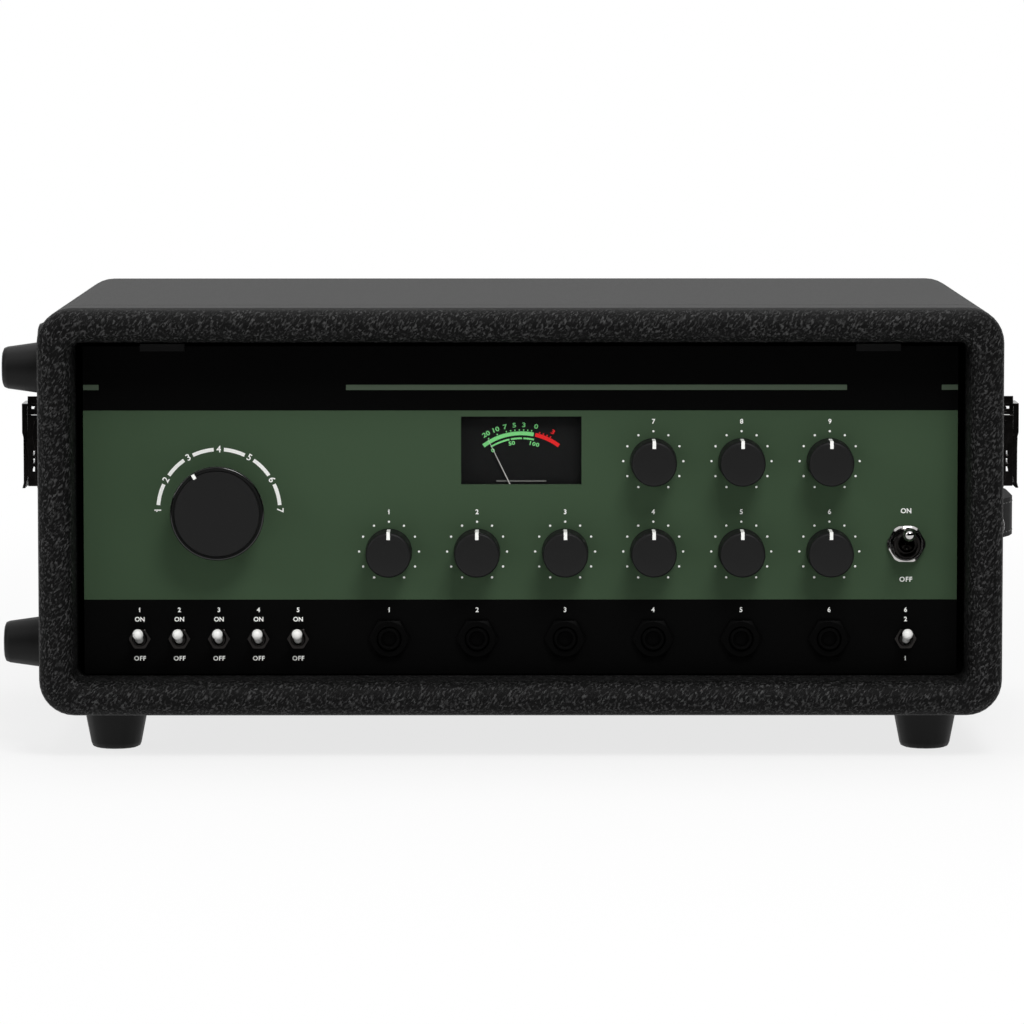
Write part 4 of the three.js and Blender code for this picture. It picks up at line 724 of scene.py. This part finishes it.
for number, (column, z) in enumerate(knob_places.values()):
    figures.append(lettering(str(number + 1), NUMBER_TEXT, COLUMNS[column], z + KNOB_NUMBER_RISE))
figure_count = len(figures)
dressed(joined("panel_figures", figures), white_ink, "case")
print("figures", figure_count)

# %% [markdown]
# A hexagon nut is a six-sided bar whose front was turned to a cone, so each corner is cut in an arc.
# The bar is kept only where it lies inside the turned shape. A corner points to each side, so the bar is
# turned by 30 degrees.


# %% Nuts and bushes
def hex_nut(name, flats, thickness, bore, face, corner):
    corner_to_axis = flats / math.sqrt(3)
    nut = ringed(name, [(corner_to_axis, 0.0), (corner_to_axis, thickness)], 6)
    nut.rotation_euler = (0, 0, math.radians(30))
    settle(nut)
    turned = [
        (corner, -0.5), (corner, thickness - (corner - face) * 0.55), (face, thickness),
        (bore + 0.3, thickness), (bore, thickness - 0.3),
        (bore, thickness * 0.4), (bore * 0.5, thickness * 0.4),
    ]
    cut(nut, ringed(name + "_turned", turned, 64), "INTERSECT")
    return smooth(finished(nut, "BEVEL", width=0.08 * MM, segments=1, limit_method="ANGLE"), 20)


def bush(name, outer, bore, height, depth, edge):
    rings = [
        (outer - 0.1, -0.5), (outer, 0.0), (outer, height - edge), (outer - edge, height),
        (bore + edge, height), (bore, height - edge),
        (bore, height - depth), (bore * 0.5, height - depth),
    ]
    return smooth(ringed(name, rings, 48))


def fitted(shape, name, x, z, material):
    return dressed(facing_front(twin(shape, name), x, PANEL_Y, z), material, "case")


toggle_nut = hex_nut("toggle_nut_shape", 8.4, 2.0, 3.0, 4.6, 5.2)
toggle_bush = bush("toggle_bush_shape", 2.95, 2.3, 5.5, 3.0, 0.25)
for index, x in enumerate(SMALL_SWITCHES):
    fitted(toggle_nut, f"toggle_nut_{index + 1}", x, SWITCH_ROW, dark_nickel)
    fitted(toggle_bush, f"toggle_bush_{index + 1}", x, SWITCH_ROW, dark_nickel)
power_nut = hex_nut("power_nut_shape", 15.8, 3.0, 6.3, 7.4, 8.5)
power_bush = bush("power_bush_shape", 6.2, 4.9, 8.0, 4.5, 0.4)
fitted(power_nut, "power_nut", POWER_X, POWER_Z, chrome)
fitted(power_bush, "power_bush", POWER_X, POWER_Z, dark_nickel)
jack_nut = hex_nut("jack_nut_shape", 16.2, 2.6, 5.2, 7.7, 10.0)
jack_bush = bush("jack_bush_shape", 4.9, 3.25, 4.2, 12.0, 0.45)
for index, x in enumerate(COLUMNS):
    fitted(jack_nut, f"jack_nut_{index + 1}", x, SWITCH_ROW, jack_nylon)
    fitted(jack_bush, f"jack_bush_{index + 1}", x, SWITCH_ROW, jack_nylon)
print("nuts and bushes placed")

# %% [markdown]
# A toggle lever is a small bat: a ball in the bush, a thin neck and a tip that swells and ends round. It
# leans up in its rest position. The six small ones wear white nylon sleeves and the power lever is chrome.
# Each turns about a point a little behind the mouth of its bush.


# %% Toggle levers
def bat_rings(ball, neck, tip, length, steps=8):
    rings = [(ball * 0.3, -ball * 0.95), (ball * 0.75, -ball * 0.66), (ball, 0.0), (ball * 0.8, ball * 0.6)]
    rings.append((neck * 1.05, ball * 1.05))
    middle = length - tip
    for step in range(1, steps + 1):
        share = step / steps
        ease = share * share * (3 - 2 * share)
        rings.append((neck + (tip - neck) * ease, ball * 1.05 + (middle - ball * 1.05) * share))
    for step in range(1, 6):
        angle = math.radians(17 * step)
        rings.append((tip * math.cos(angle), middle + tip * math.sin(angle)))
    return rings


LEVER_TILT, POWER_LEVER_TILT = 17.0, 18.2
TOGGLE_PIVOT_Y = PANEL_Y - 5.5 + 2.4
POWER_PIVOT_Y = PANEL_Y - 8.5 + 3.6
bat = smooth(ringed("bat_shape", bat_rings(1.9, 1.35, 2.3, 14.0), 32), 60)
for use, x in zip(["direct", "motor", "sound_on_sound", "echo", "chorus", "level"], SMALL_SWITCHES):
    lever = facing_front(twin(bat, use + "_bat"), x, TOGGLE_PIVOT_Y, SWITCH_ROW, tilt=-LEVER_TILT)
    dressed(lever, satin, use + "_toggle_lever")
    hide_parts(use + "_toggle_lever")
power_bat = smooth(ringed("power_bat", bat_rings(3.6, 1.3, 2.6, 21.3), 48), 60)
facing_front(power_bat, POWER_X, POWER_PIVOT_Y, POWER_Z, tilt=-POWER_LEVER_TILT)
dressed(power_bat, chrome, "power_toggle_lever")
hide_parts("power_toggle_lever")
print("levers placed")

# %% [markdown]
# The control board with its pots and jacks is one solid, and so is the power switch. Their fronts are
# shown by the finer pieces above, so a copy of each is cut off at the panel and only the part behind the
# panel stays. The cans of the pots are tinned steel, and the board behind them is green laminate.


# %% Boards and switches behind the panel
def behind_panel(node, material):
    piece = twin(frame["nodes"][node], node + "_rear")
    edit_all(piece)
    bpy.ops.mesh.remove_doubles(threshold=SAME_POINT)
    plane = {"plane_co": at(0, PANEL_Y + 0.3, 0), "plane_no": (0, 1, 0)}
    bpy.ops.mesh.bisect(**plane, use_fill=True, clear_inner=True, clear_outer=False)
    leave_edit()
    smooth(piece)
    dressed(piece, material, "case")
    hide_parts(node)
    return piece


control_finish = finish(
    "laminate_with_tinned_cans", "#1c5b38", (0.3, 0.45), 2.5, 0.01,
    second=("#8d8f90", 1.0), where={"y": (28.0, 54.0)},
)
for node, material in (("control_board", control_finish), ("power_switch", black_plastic)):
    print(node, "faces behind the panel", len(behind_panel(node, material).data.polygons))

# %% [markdown]
# The level meter has a black dial card behind its window. A green band ends at 0, a red one follows, and
# a thin inner arc carries the per cent scale. All are arcs round one centre near the foot of the card, and
# the figures stand round the same centre, each turned to face it.

# %% Meter card and scales
CARD_Y = 33.6
SCALE_Z = 112.25
SCALE_RING, INNER_RING, TICK_RING, FIGURE_RING = 27.7, 25.5, 29.15, 31.3
card_x, card_y = (METER_X - 28.4, METER_X + 28.4), (CARD_Y, CARD_Y + 0.08)
card = block("meter_card", card_x, card_y, (108.0, 150.0), 0.03)
card.location = at(0, 0, 0)
dressed(settle(card), dial_card, "case")


def dial_arc(name, ring, width, start, end):
    arc = arc_strip(name, ring - width / 2, ring + width / 2, start, end, 24)
    return facing_front(arc, METER_X, CARD_Y, SCALE_Z)


def dial_figure(words, size, ring, angle):
    turn = math.radians(angle)
    x, z = METER_X + ring * math.sin(turn), SCALE_Z + ring * math.cos(turn)
    return lettering(words, size, x, z, angle, CARD_Y, 0.07, 1.25)


green_marks = [dial_arc("green_band", SCALE_RING, 1.7, -36.8, 11.3)]
for start, end in ((-31.4, -11.8), (-10.3, 0.6), (2.1, 12.6)):
    green_marks.append(dial_arc("inner_scale", INNER_RING, 0.75, start, end))
for angle in (-29.4, -21.2, -13.0, -9.2, -5.5, -1.7, 2.1, 5.6, 9.0):
    green_marks.append(dial_arc("green_tick", TICK_RING, 0.6, angle - 0.5, angle + 0.5))
for words, angle in (("20", -29.4), ("10", -21.2), ("7", -13.2), ("5", -5.6), ("3", 2.1), ("0", 12.0)):
    green_marks.append(dial_figure(words, 2.75, FIGURE_RING, angle))
for words, angle in (("0", -31.7), ("50", -10.2), ("100", 13.6)):
    green_marks.append(dial_figure(words, 2.3, 23.6, angle))
dressed(joined("meter_green_scale", green_marks), green_ink, "case")
red_marks = [dial_arc("red_band", SCALE_RING, 1.7, 12.8, 36.6)]
for angle in (16.2, 19.6, 23.0, 26.2):
    red_marks.append(dial_arc("red_tick", 29.0, 0.7, angle - 0.5, angle + 0.5))
red_marks.append(dial_figure("3", 2.75, 31.4, 26.2))
dressed(joined("meter_red_scale", red_marks), red_ink, "case")
print("meter marks made")

# %% [markdown]
# The needle is a stamped strip that narrows to its tip, on a small hub. A bar of the meter's frame crosses
# the dial above the hub, as a stop that hides the movement; its light grey is a painted highlight along
# the frame's edge.

# %% Meter needle and bar
NEEDLE_Y, BAR_Y = 32.0, (33.1, 33.5)
NEEDLE_PIVOT_Z = METER_Z - 10.3
NEEDLE_REACH, NEEDLE_REST = 33.2, -26.0
needle = block("meter_pointer", (-0.28, 0.28), (3.0, NEEDLE_REACH), (-0.15, 0.15))
edit_all(needle)
bpy.ops.mesh.select_all(action="DESELECT")
leave_edit()
for vertex in needle.data.vertices:
    vertex.select = vertex.co.y > 20 * MM
bpy.ops.object.mode_set(mode="EDIT")
bpy.ops.transform.resize(value=(0.35, 1, 1), center_override=(0, NEEDLE_REACH * MM, 0))
leave_edit()
hub = ringed("meter_hub", [(3.4, -0.5), (3.4, 0.3), (3.0, 0.5), (1.0, 0.5)], 32)
pointer = joined("meter_pointer", [needle, hub])
facing_front(smooth(pointer), METER_X, NEEDLE_Y, NEEDLE_PIVOT_Z, turn=NEEDLE_REST)
print("needle pivot", [round(v, 2) for v in (METER_X, NEEDLE_PIVOT_Z)])
dressed(pointer, needle_lacquer, "meter_needle")
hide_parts("meter_needle")
# the bar's light grey is a painted highlight along the frame's edge
bar = block("meter_bar", (METER_X - 11.0, METER_X + 11.0), BAR_Y, (118.55, 119.3), 0.12)
bar.location = at(0, 0, 0)
dressed(settle(bar), bar_painted_highlight, "case")

# %% [markdown]
# Screws are small domed heads with a cross cut into them. Three sizes are modelled and copied onto the
# hinge, the handle's caps, the latches' keepers, the inlet and the deck. A ray finds the surface that each
# one sits on, so it neither floats nor sinks. The keepers' screws are flat, because the claw swings past.


# %% Screws on the metal fittings
def cross_screw(name, radius, dome=0.42):
    tall = radius * dome
    rings = [(radius, -0.2), (radius, tall * 0.3), (radius * 0.9, tall * 0.65), (radius * 0.6, tall * 0.92)]
    head = ringed(name, rings + [(radius * 0.3, tall)], 24)
    for long, wide in ((0.58, 0.12), (0.12, 0.58)):
        arm_x, arm_y = radius * long, radius * wide
        cut(head, block("cross_arm", (-arm_x, arm_x), (-arm_y, arm_y), (tall * 0.35, tall * 1.5)))
    return smooth(head, 30)


def seated(piece, node, start, direction):
    surface = bpy.data.objects[node + "_surface"]
    bpy.context.view_layer.update()
    hit, place, normal, index = surface.ray_cast(at(*start), Vector(direction))
    if not hit:
        raise ValueError(f"nothing of {node} is met from {start}")
    across = Vector((0, 0, 1)).cross(normal)
    if across.length < 0.1:
        across = Vector((1, 0, 0))
    across.normalize()
    turned = Matrix((across, normal.cross(across), normal)).transposed().to_4x4()
    turned.translation = place
    piece.matrix_world = turned
    return settle(piece)


OUTSIDE = 400
HINGE_SCREWS, HINGE_SCREW_SPAN = 8, 300
CAP_SCREW_Z, KEEPER_SCREW_Z, INLET_SCREW_Z = 96.1, 155.4, 54.5
screw = cross_screw("screw_shape", 2.6)
small_screw = cross_screw("small_screw_shape", 1.7)
flat_screw = cross_screw("flat_screw_shape", 1.2, 0.16)
screws = []
for index in range(HINGE_SCREWS):
    x = -HINGE_SCREW_SPAN / 2 + HINGE_SCREW_SPAN / (HINGE_SCREWS - 1) * index
    for leaf, z, body in (("lower", 130.0, "case"), ("upper", 158.6, "lid")):
        place = (x, OUTSIDE, z)
        screws.append((screw, f"lid_hinge_{leaf}_leaf", place, (0, -1, 0), body, dark_nickel))
for end, y in (("front", 65.0), ("front", 75.0), ("rear", 205.0), ("rear", 215.0)):
    place = (OUTSIDE, y, CAP_SCREW_Z)
    screws.append((screw, "handle_cap_" + end, place, (-1, 0, 0), "case", dark_nickel))
for side, sign in (("left", -1), ("right", 1)):
    for y in (62.5, 79.5):
        place = (OUTSIDE * sign, y, KEEPER_SCREW_Z)
        screws.append((flat_screw, side + "_latch_keeper", place, (-sign, 0, 0), "lid", dark_nickel))
for x in (107.0, 149.0):
    place = (x, OUTSIDE, INLET_SCREW_Z)
    screws.append((small_screw, "rear_inlet", place, (0, -1, 0), "case", dark_nickel))
for x in (-180.0, 180.0):
    for y in (68.0, 160.0, 252.0):
        screws.append((screw, "tape_deck", (x, y, OUTSIDE), (0, 0, -1), "case", steel))
for index, (shape, node, start, direction, body, material) in enumerate(screws):
    piece = seated(twin(shape, f"screw_{index + 1}"), node, start, direction)
    dressed(piece, material, body)
print("screws", len(screws))

# %% [markdown]
# Each latch has two pressed cheeks beside its lever. The front one has small windows, through which light
# falls, and the rear one is low. The keeper on the lid has a cheek of its own above them, which lifts away
# with the lid. All are flat plates with the windows cut out.

# %% Cheeks of the latches
CHEEK_X, REAR_CHEEK_X = (211.2, 218.4), (211.2, 213.6)
FRONT_CHEEK_Y, REAR_CHEEK_Y = (58.05, 58.85), (83.1, 83.9)
FRONT_CHEEK_Z, REAR_CHEEK_Z, KEEPER_CHEEK_Z = (114.6, 146.2), (114.6, 140.6), (146.4, 154.6)
WINDOW_X, WINDOW_HALF = (214.6, 216.3), 1.05
KEEPER_WINDOW = ((215.1, 216.7), (149.0, 151.2))


def cheek_plate(name, z, windows):
    cheek = block(name, CHEEK_X, FRONT_CHEEK_Y, z)
    for window_x, window_z in windows:
        cut(cheek, block("window", window_x, (57.0, 60.0), window_z))
    return cheek


def pressed(cheek, sign, body):
    finished(cheek, "BEVEL", width=0.12 * MM, segments=2, limit_method="ANGLE")
    cheek.scale = (sign, 1, 1)
    cheek.location = at(0, 0, 0)
    edit_all(settle(cheek))
    bpy.ops.mesh.normals_make_consistent(inside=False)
    leave_edit()
    return dressed(cheek, dark_nickel, body)


for side, sign in (("left", -1), ("right", 1)):
    windows = [(WINDOW_X, (z - WINDOW_HALF, z + WINDOW_HALF)) for z in (122.2, 125.8, 129.2)]
    front = cheek_plate("front_cheek", FRONT_CHEEK_Z, windows)
    rear = block("rear_cheek", REAR_CHEEK_X, REAR_CHEEK_Y, REAR_CHEEK_Z)
    pressed(joined(side + "_latch_cheeks", [front, rear]), sign, "case")
    upper = cheek_plate(side + "_keeper_cheek", KEEPER_CHEEK_Z, [KEEPER_WINDOW])
    pressed(upper, sign, "lid")
print("latch cheeks made")

# %% [markdown]
# The strap of the handle is sewn along both edges. A stitch is a short rounded bar of waxed thread, laid
# on the strap's outer face every four millimetres. The shapes that were copied are removed at the end.

# %% Stitches on the strap
FIRST_STITCH, STITCH_PITCH, STITCHES_IN_ROW, SEAM_INSET = 88, 4, 27, 2.2
stitch = block("stitch_shape", (-1.3, 1.3), (-0.22, 0.22), (-0.1, 0.22), 0.12)
stitches = []
strap_low, strap_high = [v / MM for v in (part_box("handle_strap")[0].z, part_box("handle_strap")[1].z)]
for z in (strap_low + SEAM_INSET, strap_high - SEAM_INSET):
    for index in range(STITCHES_IN_ROW):
        start = (OUTSIDE, FIRST_STITCH + STITCH_PITCH * index, z)
        stitches.append(seated(twin(stitch, "stitch"), "handle_strap", start, (-1, 0, 0)))
stitch_count = len(stitches)
dressed(joined("strap_stitches", stitches), thread, "case")
for spare in (
    knob_shape, mark_shape, dot_shape, toggle_nut, toggle_bush, power_nut, power_bush, jack_nut, jack_bush,
    bat, screw, small_screw, flat_screw, stitch,
):
    bpy.data.objects.remove(spare)
print("stitches", stitch_count)

# %% [markdown]
# A pale floor and a soft studio. The floor and the world show pure white to the camera, in reflections and
# through the panes, while the light that falls on the unit stays at a plain level. Near the unit the floor
# keeps some of its own shading, so the soft shadow stays, and further off it turns plain white.


# %% Floor
def seen_directly(tree):
    rays = add(tree, "ShaderNodeLightPath", {})
    seen = reckon(tree, "MAXIMUM", rays.outputs["Is Camera Ray"], rays.outputs["Is Glossy Ray"])
    return reckon(tree, "MAXIMUM", seen, rays.outputs["Is Transmission Ray"])


WHITE = (1, 1, 1, 1)
SHADOW_REACH, SHADOW_END = 0.25, 1.1
take(None)
bpy.ops.mesh.primitive_plane_add(size=60.0, location=(0, 20.0, -0.0005))
floor = settle(bpy.context.object)
floor.name = "studio_floor"
floor_paint, tree, shader, place = new_material("studio_floor_paper")
away = add(tree, "ShaderNodeVectorMath", {0: place}, operation="LENGTH").outputs["Value"]
white_share = spread(tree, away, 0.78, 1.0, SHADOW_REACH, SHADOW_END, soft=True)
share = reckon(tree, "MULTIPLY", seen_directly(tree), white_share)
wire(tree, shader, {
    "Base Color": linear("#f0f0f0"),
    "Roughness": spread(tree, grain(tree, place, 10 / 3), 0.85, 0.95),
    "Specular IOR Level": 0.0,
})
glow = add(tree, "ShaderNodeEmission", {"Color": WHITE, "Strength": 1.0})
surfaces = {"Fac": share, 1: shader.outputs["BSDF"], 2: glow.outputs["Emission"]}
mixed = add(tree, "ShaderNodeMixShader", surfaces)
output = [n for n in tree.nodes if n.type == "OUTPUT_MATERIAL"][0]
wire(tree, output, {"Surface": mixed.outputs["Shader"]})
floor.data.materials.append(floor_paint)
print("floor laid")

# %% [markdown]
# Gloss black and chrome look dark in a studio because black cloths hang behind the camera and at both
# sides, and another lies on the floor in front. They are only there for reflections: they throw no shadow
# and no camera sees them. The rounded sides of the case stay dark against the white, as in the picture.

# %% Black cloths for the reflections
cloth_paint, tree, shader, place = new_material("black_backing_cloth")
wire(tree, shader, {"Base Color": linear("#060606"), "Roughness": 1.0, "Specular IOR Level": 0.0})
upright = math.pi / 2
for name, location, turns, size in (
    ("studio_cloth_hung", (0, -3.4, 1.5), (upright, 0, 0), (9.0, 3.2)),
    ("studio_cloth_laid", (0, -2.1, 0.001), (0, 0, 0), (9.0, 2.6)),
    ("studio_cloth_left", (-3.0, -0.9, 1.2), (upright, 0, upright), (5.0, 2.4)),
    ("studio_cloth_right", (3.0, -0.9, 1.2), (upright, 0, upright), (5.0, 2.4)),
):
    take(None)
    bpy.ops.mesh.primitive_plane_add(size=1.0, location=location, rotation=turns)
    cloth = bpy.context.object
    cloth.name = name
    cloth.scale = (*size, 1.0)
    settle(cloth)
    cloth.data.materials.append(cloth_paint)
    cloth.visible_camera = False
    cloth.visible_diffuse = False
    cloth.visible_shadow = False
print("cloths hung")

# %% [markdown]
# The world is a plain white surround. It lights the unit at a low even level, while the camera, reflections
# and the panes meet it at full white. Three soft boxes stand in front, above and at the left.

# %% World and lamps
world = bpy.data.worlds.new("studio_world")
bpy.context.scene.world = world
world.use_nodes = True
tree = world.node_tree
tree.nodes.clear()
dim = add(tree, "ShaderNodeBackground", {"Color": WHITE, "Strength": 0.4})
white = add(tree, "ShaderNodeBackground", {"Color": WHITE, "Strength": 1.0})
surrounds = {"Fac": seen_directly(tree), 1: dim.outputs["Background"], 2: white.outputs["Background"]}
mixed = add(tree, "ShaderNodeMixShader", surrounds)
add(tree, "ShaderNodeOutputWorld", {"Surface": mixed.outputs["Shader"]})


def lamp(name, place, size, power):
    data = bpy.data.lights.new(name, "AREA")
    data.size = size
    data.energy = power
    lamp_object = bpy.data.objects.new(name, data)
    bpy.context.scene.collection.objects.link(lamp_object)
    lamp_object.location = place
    lamp_object.rotation_euler = (AIM - Vector(place)).to_track_quat("-Z", "Y").to_euler()
    return lamp_object


AIM = Vector((0, 0, 0.1))
lamp("key_softbox", (0.45, -1.5, 1.7), 0.8, 24.0)
lamp("top_softbox", (0.0, 0.4, 1.9), 1.2, 10.0)
lamp("side_softbox", (-1.7, -0.9, 0.9), 0.7, 7.0)
print("lamps set")
